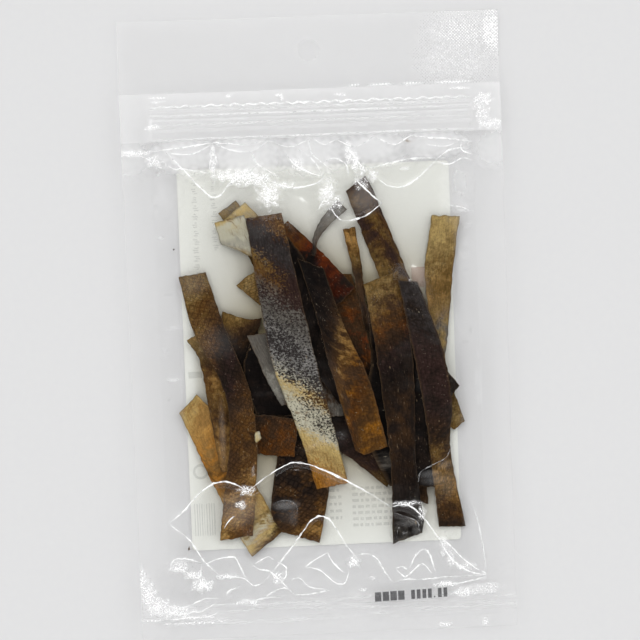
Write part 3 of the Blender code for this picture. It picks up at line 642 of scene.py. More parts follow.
# Each crease as its height and the line that it follows.
CREASES = [
    # under the zip, from left to right
    (.45, [(-59, 67), (-54, 67.6), (-45, 68.5), (-36, 69.5), (-26, 68.6), (-16, 69.5)]),
    (.35, [(-54, 67), (-50, 66), (-43, 66), (-36, 69.5)]),
    (.40, [(-36, 69.5), (-30, 66.6), (-22, 66), (-16, 69.5)]),
    (.35, [(-16, 69.5), (-8, 67), (0, 70)]),
    (.35, [(0, 70), (4.5, 67.5), (9, 69)]),
    (.45, [(9, 69), (16, 66.3), (23, 69.7)]),
    (.40, [(23, 69.7), (30, 66.5), (36.5, 69.5)]),
    (.45, [(36.5, 69.5), (44, 68.3), (50, 68), (54, 67.3), (59, 66.6)]),
    (.35, [(41, 66.6), (45, 65.5), (50, 65.3), (54, 66.8)]),
    (.60, [(-54, 67), (-49.5, 62.3), (-45, 57.3), (-41, 52.6), (-37.2, 49.6), (-34, 50.6), (-31.5, 54)]),
    (.30, [(-58.5, 62.5), (-55, 63.3), (-53.8, 62.3), (-55, 61.2), (-58, 61.5)]),
    (.40, [(-53.5, 62), (-51, 60.5), (-48, 60.5), (-43, 59.5), (-38, 58.5)]),
    (.55, [(-38, 60), (-36.5, 69)]),
    (.45, [(-35, 62), (-36.5, 69)]),
    (.40, [(-22, 65), (-20, 61), (-14, 57)]),
    (.35, [(-31.5, 54), (-26, 57), (-20, 61)]),
    (.45, [(-10, 65), (-6, 60), (2, 56), (3, 57)]),
    (.35, [(3, 57), (0, 62), (-5, 66)]),
    (.40, [(-1, 69), (0, 64), (4, 60.5), (7, 58)]),
    (.35, [(4, 61), (8, 62.2), (12, 60), (13, 56)]),
    (.50, [(-16, 54.5), (-8, 52), (0, 53), (5, 56)]),
    (.45, [(-20, 50), (-17, 47.5), (-13, 46)]),
    (.40, [(8, 55), (5, 50), (1, 43)]),
    (.55, [(12, 67), (16, 62), (19, 57)]),
    (.60, [(20, 58), (30, 60), (36, 61), (45, 61)]),
    (.60, [(20, 58), (24, 53.8), (28.5, 51.1), (33.2, 51), (38, 53.5), (42, 57), (46, 60.5)]),
    (.70, [(15, 55), (21, 48.5), (25, 45)]),
    (.65, [(25, 45), (18, 40.5), (10, 39.3), (6, 44)]),
    (.40, [(45, 60), (50, 58.5), (55, 60.5), (59, 59.5)]),
    (.40, [(45, 60), (50, 63.5), (56, 64.5)]),
    (.45, [(55, 66.5), (55, 63.5), (59, 61.8)]),
    (.30, [(50, 43.5), (54, 42.6), (58, 41)]),
    (.60, [(-70, 67.4), (-66, 66.6), (-62, 65.3), (-59, 63.5)]),
    # across the foot of the strips
    (.70, [(-58, -70), (-53, -66), (-45, -58), (-38, -55.3), (-33, -56.5), (-29, -59.5)]),
    (.75, [(-29, -59.5), (-23.3, -55.2), (-17.5, -51.6), (-12.2, -49.3), (-7, -49.9), (-1, -52.3),
           (5.5, -55.7), (12, -59.4), (18, -63.1), (24, -67.3)]),
    (.65, [(24, -67.3), (30, -66.8), (36, -72), (41, -79.5)]),
    (.60, [(41, -79.5), (45, -82.5), (50, -88), (55, -92), (59, -94.5)]),
    (.50, [(41, -79.5), (46, -88), (52, -93), (59, -95)]),
    (.40, [(-38, -73), (-36, -70), (-34, -68.5)]),
    # the rims of the hollows over the dark strips' feet
    (.06, [(-19.5, -65), (-17.2, -63.6), (-13.3, -63.8), (-10.8, -66.2), (-10.9, -69)]),
    (.10, [(34.4, -58.4), (35.2, -55.1), (37.9, -53.3), (41.7, -51.6), (45.4, -49.5), (47.8, -45.2)]),
    (.12, [(24.7, -69.6), (30.2, -71.7), (33.8, -73.7), (34.4, -77.5)]),
    # the facets over the foot seal, from left to right
    (.60, [(-58, -71), (-51, -77), (-46, -85), (-40, -91)]),
    (.45, [(-40, -91), (-32, -92), (-28, -95), (-24, -94)]),
    (.60, [(-24, -94), (-18, -87), (-13, -80.8), (-9.3, -76), (-5.8, -71.6), (-2, -70), (1.3, -71.7),
           (4, -76), (7.4, -82), (11, -86.5)]),
    (.40, [(11, -85.5), (14, -85), (17, -86), (19, -88), (21, -92), (24, -96.5)]),
    (.45, [(-59, -88), (-57, -84), (-52, -84), (-47, -86)]),
    (.45, [(-59, -88), (-55, -87.5), (-51, -90), (-48, -91), (-47, -86)]),
    (.40, [(-48, -91), (-47, -94), (-43, -95.5)]),
    (.40, [(-46, -86.5), (-41, -84.5), (-35, -84), (-33, -87), (-31, -92)]),
    (.45, [(-28, -87.5), (-25, -85.5), (-22, -84.5), (-20, -86)]),
    (.45, [(-28, -87.5), (-26, -88.8), (-22, -90), (-18, -93.5), (-15, -97)]),
    (.45, [(-20, -86), (-16, -88.5), (-16, -92), (-18, -93.5)]),
    (.35, [(-38.5, -98.5), (-37, -96.5), (-33, -95)]),
    (.35, [(-14, -94), (-12.5, -93), (-10, -93.6), (-7, -96.5), (0, -98)]),
    (.35, [(-24, -99.5), (-19, -97), (-16, -96.6), (-13, -99)]),
    (.35, [(-13, -99), (-8, -99.3), (0, -98)]),
    (.50, [(-8.5, -89), (-5, -86.5), (0, -84)]),
    (.50, [(0, -84), (2, -88), (6, -92)]),
    (.50, [(-8.5, -89), (-3, -90.5), (2, -95), (6, -95.6), (8, -90)]),
    (.45, [(8, -86), (10, -87.5), (12, -91)]),
    (.35, [(14.5, -94.5), (16, -93.6), (17.3, -94.3), (15.5, -95.2)]),
    (.40, [(25, -91), (28, -90.5), (29.5, -92)]),
    (.50, [(30, -91.5), (33, -86), (36, -84)]),
    (.50, [(36, -84), (38, -86), (40, -93)]),
    (.45, [(25, -91), (28, -94), (30, -93.5), (35, -89.7), (39, -94)]),
    (.35, [(25, -96.5), (28, -95.3), (36, -95.5), (45, -95), (59, -95)]),
    (.35, [(59, -95.5), (55, -96.5), (48, -97.5), (41, -97)]),
    (.25, [(55, -68), (57.5, -80), (59, -94)]),
    # along the foot seal
    (.40, [(-60, -101), (-57, -102.5), (-54, -102), (-50, -100.5), (-46, -99), (-41, -99.5)]),
    (.35, [(-61, -103.5), (-57, -104.6), (-51, -104), (-47, -103.6), (-43, -101.5), (-39, -102)]),
    (.35, [(-62, -105.5), (-58, -106.5), (-52, -106), (-45, -106), (-41, -104)]),
    (.35, [(-34, -101.3), (-32, -100.3), (-29, -101), (-27.5, -102.5), (-26.5, -100.4), (-18, -99.5)]),
]
# Where the film is crushed into small facets: the patch, how many, and their height.
CRUSHED = [
    ((-37, -13, 53, 60), 26, .40), ((-21, -12, 45, 54), 10, .35), ((0, 9, 42, 56), 12, .35),
    ((-58, 58, 58, 69), 60, .22), ((-58, 58, 40, 60), 30, .16),
    ((-58, 58, -100, -86), 60, .25), ((-58, 58, -86, -66), 26, .18),
    ((-50, -43, -97, -93), 10, .35), ((44, 52, -94, -84), 14, .35), ((46, 56, -104, -98), 16, .35),
]


def settle(seam, held_up):
    """The front sheet, stretched between the seams and over what holds it up."""
    coarse = (slice(None, None, 2), slice(None, None, 2))
    x, y = GRID_X[coarse], GRID_Y[coarse]
    fixed = (abs(x) >= SEAL_X) | (y >= ZIP_FOOT) | (y <= SEAL_Y)
    lowest = np.where(fixed, seam[coarse] + PLY / 2, bridged(held_up, FILM_SPAN)[coarse] + FILM_GAP)
    film = lowest.copy()
    checker = (np.add.outer(np.arange(film.shape[0]), np.arange(film.shape[1])) % 2)[1:-1, 1:-1]
    for step in range(2 * SWEEPS):       # each cell is drawn to the mean of those round it, by turns
        mean = (film[:-2, 1:-1] + film[2:, 1:-1] + film[1:-1, :-2] + film[1:-1, 2:]) / 4
        inner = film[1:-1, 1:-1]
        moved = np.maximum(inner + OVERSHOOT * (mean - SLACK / 4 - inner), lowest[1:-1, 1:-1])
        turn = (checker == step % 2) & ~fixed[1:-1, 1:-1]
        film[1:-1, 1:-1] = np.where(turn, moved, inner)
    for _ in range(2):
        film = np.where(fixed, film, spread(film, 2, np.mean))
    inward = SEAL_X - abs(x)             # puckers along the side seals
    fade = ease(inward / 2) * ease(1 - inward / PUCKER_REACH)
    fade *= ease((ZIP_FOOT - y) / 6) * ease((y - SEAL_Y) / 6)
    turns = y / PUCKER_PITCH + 0.2 * (x > 0) + 0.25 * np.sin(y / 13 + 2 * (x > 0))
    return film + PUCKER_DEPTH * fade * (1 + np.sin(2 * np.pi * turns)) / 2


def finer(field, spacing, x_lines, y_lines):
    """A field read on finer lines, by smooth curves through its cells along both ways."""
    for axis, wanted in ((0, (y_lines + HALF_Y) / spacing), (1, (x_lines + HALF_X) / spacing)):
        cells = field.shape[axis]
        k = np.clip(wanted.astype(int), 0, cells - 2)
        near = (np.take(field, np.clip(k + step, 0, cells - 1), axis) for step in (-1, 0, 1, 2))
        field = curve(*near, (wanted - k).reshape((-1, 1) if axis == 0 else (1, -1)))
    return field


def raise_line(heights, x_lines, y_lines, points, tall, width):
    """Raises a grid of heights to a rounded crease along a few points, lower towards both ends."""
    length = np.hypot(*np.diff(points, axis=0).T).sum()
    knots = along(points, np.linspace(0, 1, max(3, int(length / CREASE_STEP))))
    tall = tall * np.sin(np.pi * np.linspace(0.08, 0.92, len(knots) - 1))**.5
    for start, end, top in zip(knots[:-1], knots[1:], tall):
        low, high = np.minimum(start, end) - 2.5 * width, np.maximum(start, end) + 2.5 * width
        i = slice(*np.searchsorted(x_lines, (low[0], high[0])))
        j = slice(*np.searchsorted(y_lines, (low[1], high[1])))
        run = end - start
        x, y = x_lines[i] - start[0], y_lines[j, None] - start[1]
        t = np.clip((x * run[0] + y * run[1]) / max(run @ run, 1e-9), 0, 1)
        away = np.hypot(x - t * run[0], y - t * run[1]) / width
        heights[j, i] = np.maximum(heights[j, i], top * np.exp(-away**1.5))


def stations(*runs):
    """Grid lines from run to run, each given by its start, its end and the step along it."""
    parts = [np.linspace(a, b, round((b - a) / step) + 1)[:-1] for a, b, step in runs]
    return np.append(np.concatenate(parts), runs[-1][1])


def sheet(name, x, y, heights, material, keep=None):
    """An open sheet of film over a grid of places. keep says which of its cells are there."""
    faces = quads(np.arange(x.size).reshape(x.shape))
    if keep is not None:
        faces = faces[keep.ravel()]
    piece = new_piece(name, np.dstack([x, y, heights]).reshape(-1, 3), faces.tolist(), material)
    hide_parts("pouch")
    piece.data.shade_smooth()
    return piece


def glare_at(x, y, patches, ragged=0.22):
    """How strongly each spot of the film is painted white by a few oval patches, as highlight and veil."""
    glare = np.zeros_like(x)
    uneven = ragged * (np.sin(1.9 * x + 1.3 * np.sin(1.1 * y)) + np.sin(2.3 * y + 1.7 * np.sin(0.9 * x)))
    for mid_x, mid_y, wide, tall, most in patches:
        away = np.hypot((x - mid_x) / wide, (y - mid_y) / tall) + uneven
        glare = np.maximum(glare, most * ease((1.7 - away) / 1.4))
    return glare


# Polypropylene and polyethylene laminate: clear as glass, with a mirror gloss that is weak
# where it is looked at squarely and strong at a slant. Fine waviness breaks its highlights,
# where it is crushed into small facets its glitter is painted on in white, and where it is sealed
# it is hazy. The header is embossed with diamonds. The back sheet is tinted as painted shade.
FILM_MIRROR, FILM_ROUGH = 0.03, 0.09 # share mirrored squarely by the two faces of a sheet, and its blur
FILM_WAVE, WAVE_HEIGHT = 6.0, 0.05   # mm between the soft waves left by the rollers, and their height
GLITTER, WOVEN = 0.45, 0.8           # mm between the facets where it is crushed, and between the diamonds
# In the pocket beside the label, the milky white is a painted veil that stands for the tent it mirrors.
SEAL_MILKY, POCKET_VEIL, ZIP_MILKY, HEADER_MILKY = 0.11, 0.10, 0.52, 0.16   # share scattered white
STREAKS, STREAK_WIDE, STREAK_HIGHLIGHT = 30, 0.45, 0.14      # painted highlights along the ribs of the foot seal: how many, mm across, share
film_finishes = []
for name in ("clear_laminate_film", "embossed_laminate_film", "oiled_laminate_film"):
    material, tree = new_material(name)
    spot = add(tree, "TexCoord").outputs["Object"]
    # the back sheet lets through a painted shade, darker and warmer where strips crowd it
    tint = add(tree, "Attribute", attribute_name="tint") if name.startswith("oiled") else srgb("#ffffff")
    glare, milky = (add(tree, "Attribute", attribute_name=word).outputs["Fac"] for word in ("glare", "milky"))
    waves = add(tree, "TexNoise", spot, 1 / (FILM_WAVE * MM), 3.0, 0.55)
    relief = add(tree, "Bump", {"Distance": WAVE_HEIGHT * MM, "Height": waves})
    slant = add(tree, "LayerWeight", 0.5, relief).outputs["Facing"]
    fifth = add(tree, "Math", slant, 5.0, operation="POWER")
    mirrored = add(tree, "Math", fifth, 1 - FILM_MIRROR, FILM_MIRROR, operation="MULTIPLY_ADD")
    through = add(tree, "BsdfTransparent", tint)
    gloss = add(tree, "BsdfGlossy", {"Roughness": FILM_ROUGH, "Normal": relief})
    clear = add(tree, "MixShader", mirrored, through, gloss)
    # Where facets stand over a bar that glare lowers, they are painted white as highlights: slope is
    # how much it lowers the bar, crisp is how soft they end, and least is what is painted between them.
    if name.startswith("embossed"):
        sides = add(tree, "SeparateXYZ", add(tree, "VectorRotate", {"Vector": spot, "Angle": radians(45)},
                                             rotation_type="Z_AXIS"))
        crossing = []
        for side in ("X", "Y"):
            phase = add(tree, "Math", sides.outputs[side], 2 * np.pi / (WOVEN * MM), operation="MULTIPLY")
            crossing.append(add(tree, "Math", phase, operation="SINE"))
        woven = add(tree, "Math", *crossing, operation="MINIMUM")
        worn = add(tree, "TexNoise", spot, 1 / (WOVEN * MM), 2.0)
        woven = add(tree, "Math", worn, 5.0, woven, operation="MULTIPLY_ADD")
        facets = add(tree, "MapRange", woven, 0.6, 3.4, 0.42, 0.68)
        slope, crisp, least = -0.24, 0.26, 0.0
    else:
        facets = add(tree, "TexNoise", spot, 1 / (GLITTER * MM), 2.0, 0.6)
        slope, crisp, least = -0.16, 0.06, 0.16
    lowest = add(tree, "Math", glare, slope, 0.62, operation="MULTIPLY_ADD")
    over = add(tree, "Math", facets, lowest, operation="SUBTRACT")
    sparkle = add(tree, "MapRange", over, -0.03, crisp, least)
    fade = add(tree, "Math", glare, 4.0, operation="MULTIPLY", use_clamp=True)
    share = add(tree, "Math", sparkle, fade, operation="MULTIPLY", use_clamp=True)
    white, passed = (add(tree, kind, srgb("#ffffff")) for kind in ("BsdfDiffuse", "BsdfTranslucent"))
    haze = add(tree, "MixShader", 0.5, white, passed)
    # share paints the film white matt there, as a painted highlight
    film = add(tree, "MixShader", share, add(tree, "MixShader", milky, clear, haze), white)
    if name.startswith("embossed"):                 # it lies on the table, and throws no shade there
        film = add(tree, "MixShader", add(tree, "LightPath").outputs["Is Shadow Ray"], film, through)
    add(tree, "OutputMaterial", film)
    film_finishes.append(material)
clear_film, embossed_film, oiled_film = film_finishes

rng = np.random.default_rng(7)
crushed = []
for (x0, x1, y0, y1), count, tall in CRUSHED:
    for _ in range(count):
        x, y = rng.uniform(x0, x1), rng.uniform(y0, y1)
        turn, bend, reach = rng.uniform(0, 2 * np.pi), rng.normal(0, .6), rng.uniform(1.5, 5)
        tip = (x + reach * np.cos(turn), y + reach * np.sin(turn))
        end = (tip[0] + reach * np.cos(turn + bend), tip[1] + reach * np.sin(turn + bend))
        crushed.append((tall * rng.uniform(.5, 1.2), [(x, y), tip, end]))

front_low = settle(seam, bulk_top)
front_x = stations((-HALF_X, -SEAL_X, SIDE_CELL), (-SEAL_X, SEAL_X, FRONT_CELL), (SEAL_X, HALF_X, SIDE_CELL))
front_y = stations((-HALF_Y, SEAL_Y - RIBS_DEEP, FOOT_CELL), (SEAL_Y - RIBS_DEEP, SEAL_Y, RIB_CELL),
                   (SEAL_Y, ZIP_FOOT, FRONT_CELL))
front = finer(front_low, 2 * CELL, front_x, front_y)
for width, lines in ((CREASE_WIDTH, CREASES), (CRUSHED_WIDTH, crushed)):
    raised = np.zeros_like(front)
    for tall, line in lines:
        raise_line(raised, front_x, front_y, line, tall, width)
    front += raised
x, y = np.meshgrid(front_x, front_y)
in_ribs = ease((SEAL_Y + 1 - y) / 1.5) * ease((y + HALF_Y - 4.5) / 1.5)
uneven = 0.5 + 0.5 * np.sin(x / 7 + 2.1 * y)
front += RIB_HEIGHT * uneven * in_ribs * np.sin(2 * np.pi * (y + RIB_SWAY * np.sin(x / 9)) / RIB_PITCH)
front_film = sheet("film_front", x, y, front, clear_film)
# Painted highlights, where it is crushed: the middle of each patch, its half width and height, and the share
# painted white.
GLARE = [
    (-31, 57.5, 4, 1.6, .9), (-26, 56.5, 6, 2.4, .95), (-20, 55.5, 4, 2.2, .9), (-16.5, 50.5, 3, 4.2, .95),
    (-12, 53, 4, 1, .7), (-36.5, 62, .8, 4.5, .8), (5, 49.5, 2.4, 4.6, .8), (8, 46, 2, 2, .7),
    (13.5, 64, 1, 3, 1), (15.5, 60.5, 1.2, 3, 1), (18, 57, 1, 2, .9), (22, 55.5, 1.4, 1.6, .8),
    (-66, 66.6, 4.5, .8, 1), (-58, 63.4, 2, 1.6, .7), (-5.5, 61, 1.6, 2, .6), (34, 57.6, 1.4, .4, .6),
    (-47, -94, 2.8, 1.8, 1), (-50.5, -90, 2.5, 1.2, .8), (-55, -86.5, 3, 1.6, .5), (-38, -91.3, 3, .7, .7),
    (43.5, -83, 1, 3.4, .6), (46, -88, 1.2, 2.6, .5), (51, -91.5, 3, 1, .6), (-19, -92.5, 1.4, 1.8, .8),
    (44, -97.7, 4, .7, .9), (51, -101, 3.5, 1.4, .9), (58, -100, 5, 1.6, .5), (9.5, -88, 1.8, 1.6, .9),
    (12.5, -98.5, 1.2, .4, .8), (-33, -101.3, 1.4, .5, .8), (-29, -101.5, 1, 1, .8), (-69, -92, 1, 4, .8),
    (-67, -97, 2, 4, .85), (-63.5, -101.5, 3.2, 2.6, .85), (-58, -103.5, 5.5, 1.6, .8),
    (-52, -106, 7, .5, .6), (-50, -108.2, 9, .5, .5), (-31.5, -64.5, 1.3, 1.1, 1), (18, 53, 2.2, 2, .5),
    (-29.2, -59, 2.2, 1.3, .9), (30.2, -66.3, 3.6, .8, .9), (35.6, -70, 1.2, 2, .7),
    (43, -113, 1.8, .5, .8), (58, -112.5, .8, 1.2, .7), (-66, -106.5, 4, .3, .6),
]
# Painted reflections, where it stands clear of the strips: the tent it would mirror, as a soft veil. The same
# for each.
VEILS = [
    (-46, 18.5, 5, 4, .07), (-38.5, -4, 6, 5, .045), (-14.2, -68, 3.4, 3.6, .04),
    (-14.8, -65.4, 3.8, 1.5, .2), (-12.4, -69.5, 1.6, 3.2, .08), (41.4, -58, 4.6, 1.6, .10),
    (39, -55.8, 3.4, 1.4, .12), (44.5, -52.5, 2.4, 1.6, .08), (-37.2, -38, 1, 10, .07),
    (18.5, 47, 5, 4.5, .17), (31, -74, 4.5, 1.3, .10), (33.5, -77, 1.4, 2.2, .08),
    (-32.5, -66, 6.5, 6, .13), (-20, 38, 5, 3, .03), (7, 42, 5, 4, .10), (-46, 65.5, 12, 6.5, .75),
    (-24, 64.5, 14, 7.5, .85), (0, 64.5, 13, 7, .8), (21, 65.5, 13, 6, .75), (45, 66, 12, 5, .6),
    (-67, 65, 10, 8, .33), (68, 64, 10, 8, .33), (0, -91.5, 80, 9, .18), (54, 52, 6, 13, .25),
    (-55, 52, 5, 12, .2), (-56.7, 58.5, 1.6, .9, .3), (-56, 55.5, 1.4, 1.6, .18),
    (-57.9, 47.3, 1.4, .8, .25), (-55.5, 44.5, 2.4, 1.4, .12), (-56.8, 35.5, 1.6, .9, .28),
    (-55.2, 14.4, 2.2, .8, .2), (-53.8, 1.8, 2.6, .9, .24), (-57, -6, 1.5, 1, .24),
    (-54.6, -17, 1.9, .6, .5), (-56.5, -24.5, 1, .6, .2), (54.6, 51.6, 2, 1, .25),
    (56.3, 48.6, 1.2, 1.7, .24), (54.2, 41.6, 2.8, .8, .4), (56.3, 35.8, 1.8, .8, .22),
    (54.6, 25.6, 1.5, 1.6, .22), (55.2, 19.6, 2, .7, .16), (56, -3, .6, 1.5, .2), (53.8, -7.2, 2.2, .7, .2),
    (45.5, -60, 3, 4, .05), (-26, -79, 5, 6, .06), (4, -57, 4, 3, .05),
]
in_seal = np.maximum(ease((abs(x) - SEAL_X + 0.5) / 1.0), ease((SEAL_Y - y + 0.5) / 1.0))
# The foot seal's streaks are painted highlights along its ribs, as milky white.
rng = np.random.default_rng(5)
streaks = np.stack([wander(rng, len(front_x), 16) for _ in range(STREAKS)])
streaks = streaks[np.clip(((front_y + HALF_Y) / STREAK_WIDE).astype(int), 0, STREAKS - 1)]
# beside the label: the painted veil
beside_label = ease(np.maximum(LABEL_LOW.x - x, x - LABEL_HIGH.x) / 2)
milky = np.maximum(SEAL_MILKY * in_seal, POCKET_VEIL * beside_label)
milky += STREAK_HIGHLIGHT * in_ribs * np.clip(streaks, 0, 1.5)
# glare: the painted highlights
paint(front_film, "glare", glare_at(x, y, GLARE))
# milky: the sealed haze, with the painted veils and streaks over it
paint(front_film, "milky", np.maximum(milky, glare_at(x, y, VEILS, 0.05)))


# ---------------------------------------------------------------- the press zip and the bright crests
# The zip is two extruded profiles, fused to the sheets and pressed shut. Along its ridges and along
# each crease the film bends so tightly that it mirrors light from all round as one thin bright
# line. A thin white ribbon over each paints that line on as a highlight, as it is finer than the cells of the
# sheets.
ZIP_TRACK, ZIP_TRACK_WIDTH, ZIP_TRACK_RISE, ZIP_BAND_RISE = 76.2, 3.4, 0.7, 0.35
# What stands up across the band of the zip: the line's y, its height and its half width.
ZIP_LINES = [(82.9, .22, .35), (81.0, .16, .35), (79.6, .40, .75), (78.0, .18, .35),
             (75.9, .18, .3), (75.1, .22, .35), (71.0, .30, .4)]
TOP_SWAY, TOP_SWAY_LONG = 0.25, 4.6  # mm that the line over its band sways, and from sway to sway
# The painted highlights along it: the line's y, how far it sways, from x to x, and how bright it is.
ZIP_CRESTS = [(83.2, .28, (-59, 59), .38), (83.0, .24, (-58, 58), .25), (79.8, .03, (-57, 58), .26),
              (76.6, .03, (-55, 58), .14), (71.2, .10, (-57, 30), .22), (71.4, .12, (20, 59), .25),
              (81.6, .05, (-40, 57), .14)]
# Painted highlights where the band is crushed, in the way that GLARE gives them.
ZIP_GLARE = [
    (64, 82, 2.2, 1.8, .9), (63, 77.5, 2, 4, .55), (66, 73, 3.4, 1.6, .85), (61, 80.5, 1, 2.5, .6),
    (-58, 76, 2, .8, .7), (-29.7, 86.4, .8, .5, 1), (-11.5, 86.2, 1.1, .5, .9), (-10.4, 85.2, .5, .7, .8),
    (11.2, 85.6, 1.5, .5, .9), (-56, 86.6, 2.4, .3, .8), (-56, 85.2, 2.2, .3, .7), (55, 86.3, 2.4, .4, .8),
]
BEAD_WIDTH, BEAD_SWAY, BEAD_STEP = 0.45, 0.09, 0.6       # of the bright line along a crease
BEAD_LIFT, BEAD_RISE, BEAD_FULL = 0.03, 0.09, 0.45       # over the sheet, in its middle, the brightest crease
ZIP_CELL_X, ZIP_CELL_Y = 0.5, 0.25

zip_x = stations((-HALF_X, HALF_X, ZIP_CELL_X))
zip_y = stations((ZIP_FOOT, HEADER_LINE, ZIP_CELL_Y))
band = finer(front_low, 2 * CELL, zip_x, zip_y)
x, y = np.meshgrid(zip_x, zip_y)
in_pocket = ease((SEAL_X + 0.5 - abs(x)) / 1.5)
band += ZIP_BAND_RISE * in_pocket * ease((y - ZIP_FOOT) / .6) * ease((ZIP_TOP - y) / .6)
band += ZIP_TRACK_RISE * in_pocket * ease(1.6 - abs(y - ZIP_TRACK) / (ZIP_TRACK_WIDTH / 2))
for line_y, tall, wide in ZIP_LINES:
    sway = TOP_SWAY * np.sin(2 * np.pi * x / TOP_SWAY_LONG + line_y) * (line_y > ZIP_TOP)
    band += tall * in_pocket * np.exp(-((y - line_y - sway) / wide)**2)

# Clear film with its bright line painted on in white, as a highlight, broken where the crest is dented.
CREST_DENT = 2.4                     # mm between the dents
crest_highlight_material, tree = new_material("painted_highlight_film")
broken = add(tree, "TexNoise", add(tree, "TexCoord").outputs["Object"], 1 / (CREST_DENT * MM), 3.0, 0.65)
glare = add(tree, "Attribute", attribute_name="glare").outputs["Fac"]
strength = add(tree, "MapRange", broken, 0.36, 0.52, 0.5, 1.15)
share = add(tree, "Math", strength, glare, operation="MULTIPLY", use_clamp=True)
add(tree, "OutputMaterial", add(tree, "MixShader", share, add(tree, "BsdfTransparent"),
                                add(tree, "BsdfDiffuse", srgb("#ffffff"))))

crest_lines = [(tall, along(line, np.linspace(0, 1, 200)), front, front_x, front_y) for tall, line in CREASES]
for line_y, sway, reach, tall in ZIP_CRESTS:
    x_run = np.linspace(*reach, 500)
    swing = sway * (np.sin(x_run * 1.37 + line_y) + 0.6 * np.sin(x_run * 0.73 + 2 * line_y))
    crest_lines.append((tall, np.stack([x_run, line_y + swing], 1), band, zip_x, zip_y))
rng = np.random.default_rng(23)
beads, bead_faces, bead_glare = [], [], []
for tall, line, heights, x_lines, y_lines in crest_lines:
    length = np.hypot(*np.diff(line, axis=0).T).sum()
    n = max(4, int(length / BEAD_STEP))
    knots = straight(line, np.linspace(0, 1, n))
    run = np.gradient(knots, axis=0)
    side = np.stack([-run[:, 1], run[:, 0]], 1) / np.maximum(np.hypot(*run.T), 1e-9)[:, None]
    fade = np.sin(np.pi * np.linspace(0.05, 0.95, n))**.4
    knots = knots + side * (BEAD_SWAY * wander(rng, n, 1.6) * fade)[:, None]
    wide = BEAD_WIDTH * (0.6 + 0.7 * tall) * np.clip(1 + 0.45 * wander(rng, n, 2), 0.4, 2.2)
    index = sum(map(len, beads)) + np.arange(4 * n).reshape(4, n)
    bead_faces.append(quads(index)[:, [0, 3, 2, 1]])
    for place, lift in ((-.5, 0), (-.17, BEAD_RISE), (.17, BEAD_RISE), (.5, 0)):
        plan = knots + side * (wide * place * fade)[:, None]
        z = between(heights, np.interp(plan[:, 0], x_lines, np.arange(len(x_lines))),
                    np.interp(plan[:, 1], y_lines, np.arange(len(y_lines))))
        beads.append(np.column_stack([plan, z + BEAD_LIFT + lift * fade]))
        bead_glare.append(np.full(n, min(1, tall / BEAD_FULL)) * fade)
# the ribbons: white matt painted highlights over the creases and the zip
creases = new_piece("film_crest_highlights", np.concatenate(beads), np.concatenate(bead_faces).tolist(), crest_highlight_material)
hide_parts("pouch")
creases.data.shade_smooth()
paint(creases, "glare", np.concatenate(bead_glare))

zip_film = sheet("film_zip", x, y, band, clear_film)
paint(zip_film, "milky", ZIP_MILKY * (0.75 + 0.25 * ease((x + 66) / 8)))
# glare: the painted highlights on the band
paint(zip_film, "glare", glare_at(x, y, ZIP_GLARE))


# ---------------------------------------------------------------- the header with its hang hole
# Over the zip both sheets are fused and embossed with fine diamonds, and a round hole is punched
# through them. The header lies on the table.
HOLE_RADIUS, HOLE_Y = 4.0, HALF_Y - 12.5
HOLE_BOX = 3.5                       # half the square of cells that the hole takes out
HEAD_CELL = 0.7
# Painted highlights where it is crushed, in the way that GLARE gives them.
HEAD_GLARE = [
    (67.5, 107, 3.5, 7.5, 1), (57, 107, 12, 7, .55), (54, 97, 12, 8, .4), (16.2, 88.6, 2.0, .4, .9),
    (26.2, 88.6, 3.6, .4, 1), (37.8, 88.6, 3.6, .4, 1), (52.5, 88.6, 6.3, .5, 1),
    (-51.5, 88.4, 1.4, .3, .9),
]

head_x = stations((-HALF_X, HALF_X, HEAD_CELL))
head_y = stations((HEADER_LINE, HOLE_Y, HEAD_CELL), (HOLE_Y, HALF_Y, HEAD_CELL))
head = finer(front_low, 2 * CELL, head_x, head_y)
x, y = np.meshgrid(head_x, head_y)
aside, up = x.copy(), y - HOLE_Y
boxed = np.maximum(abs(aside), abs(up))           # the square of cells round the hole is drawn to a circle
turned = np.maximum(np.hypot(aside, up), 1e-6)
blend = np.clip((boxed - HOLE_BOX) / HOLE_BOX, 0, 1)
x = blend * x + (1 - blend) * aside / turned * (HOLE_RADIUS + boxed - HOLE_BOX)
y = HOLE_Y + blend * up + (1 - blend) * up / turned * (HOLE_RADIUS + boxed - HOLE_BOX)
keep = (boxed[:-1, :-1] + boxed[1:, 1:]) / 2 > HOLE_BOX - 0.01
keep |= (boxed[:-1, 1:] + boxed[1:, :-1]) / 2 > HOLE_BOX + 0.01
header = sheet("film_header", x, y, head, embossed_film, keep)
# glare: the painted highlights on the header
paint(header, "glare", glare_at(x, y, HEAD_GLARE, 0.06))
paint(header, "milky", np.full_like(x, HEADER_MILKY))


# ---------------------------------------------------------------- the back sheet
# A flat sheet of the same film, between the strips and the label, tinted with painted shade.
# Light gets to the label only past the strips and through them: the more of its surroundings they
# cover, the darker and warmer the sheet is tinted.
BACK_CELL = 2.0
SHADE_REACH, SHADE_RIM = 11.0, 6.0   # mm over which the strips shade it, and in from the label's edge
SHADE_EVEN, SHADE_DEEP = 0.40, (0.50, 0.60, 0.78)        # share lost in all colours, and in the densest heap

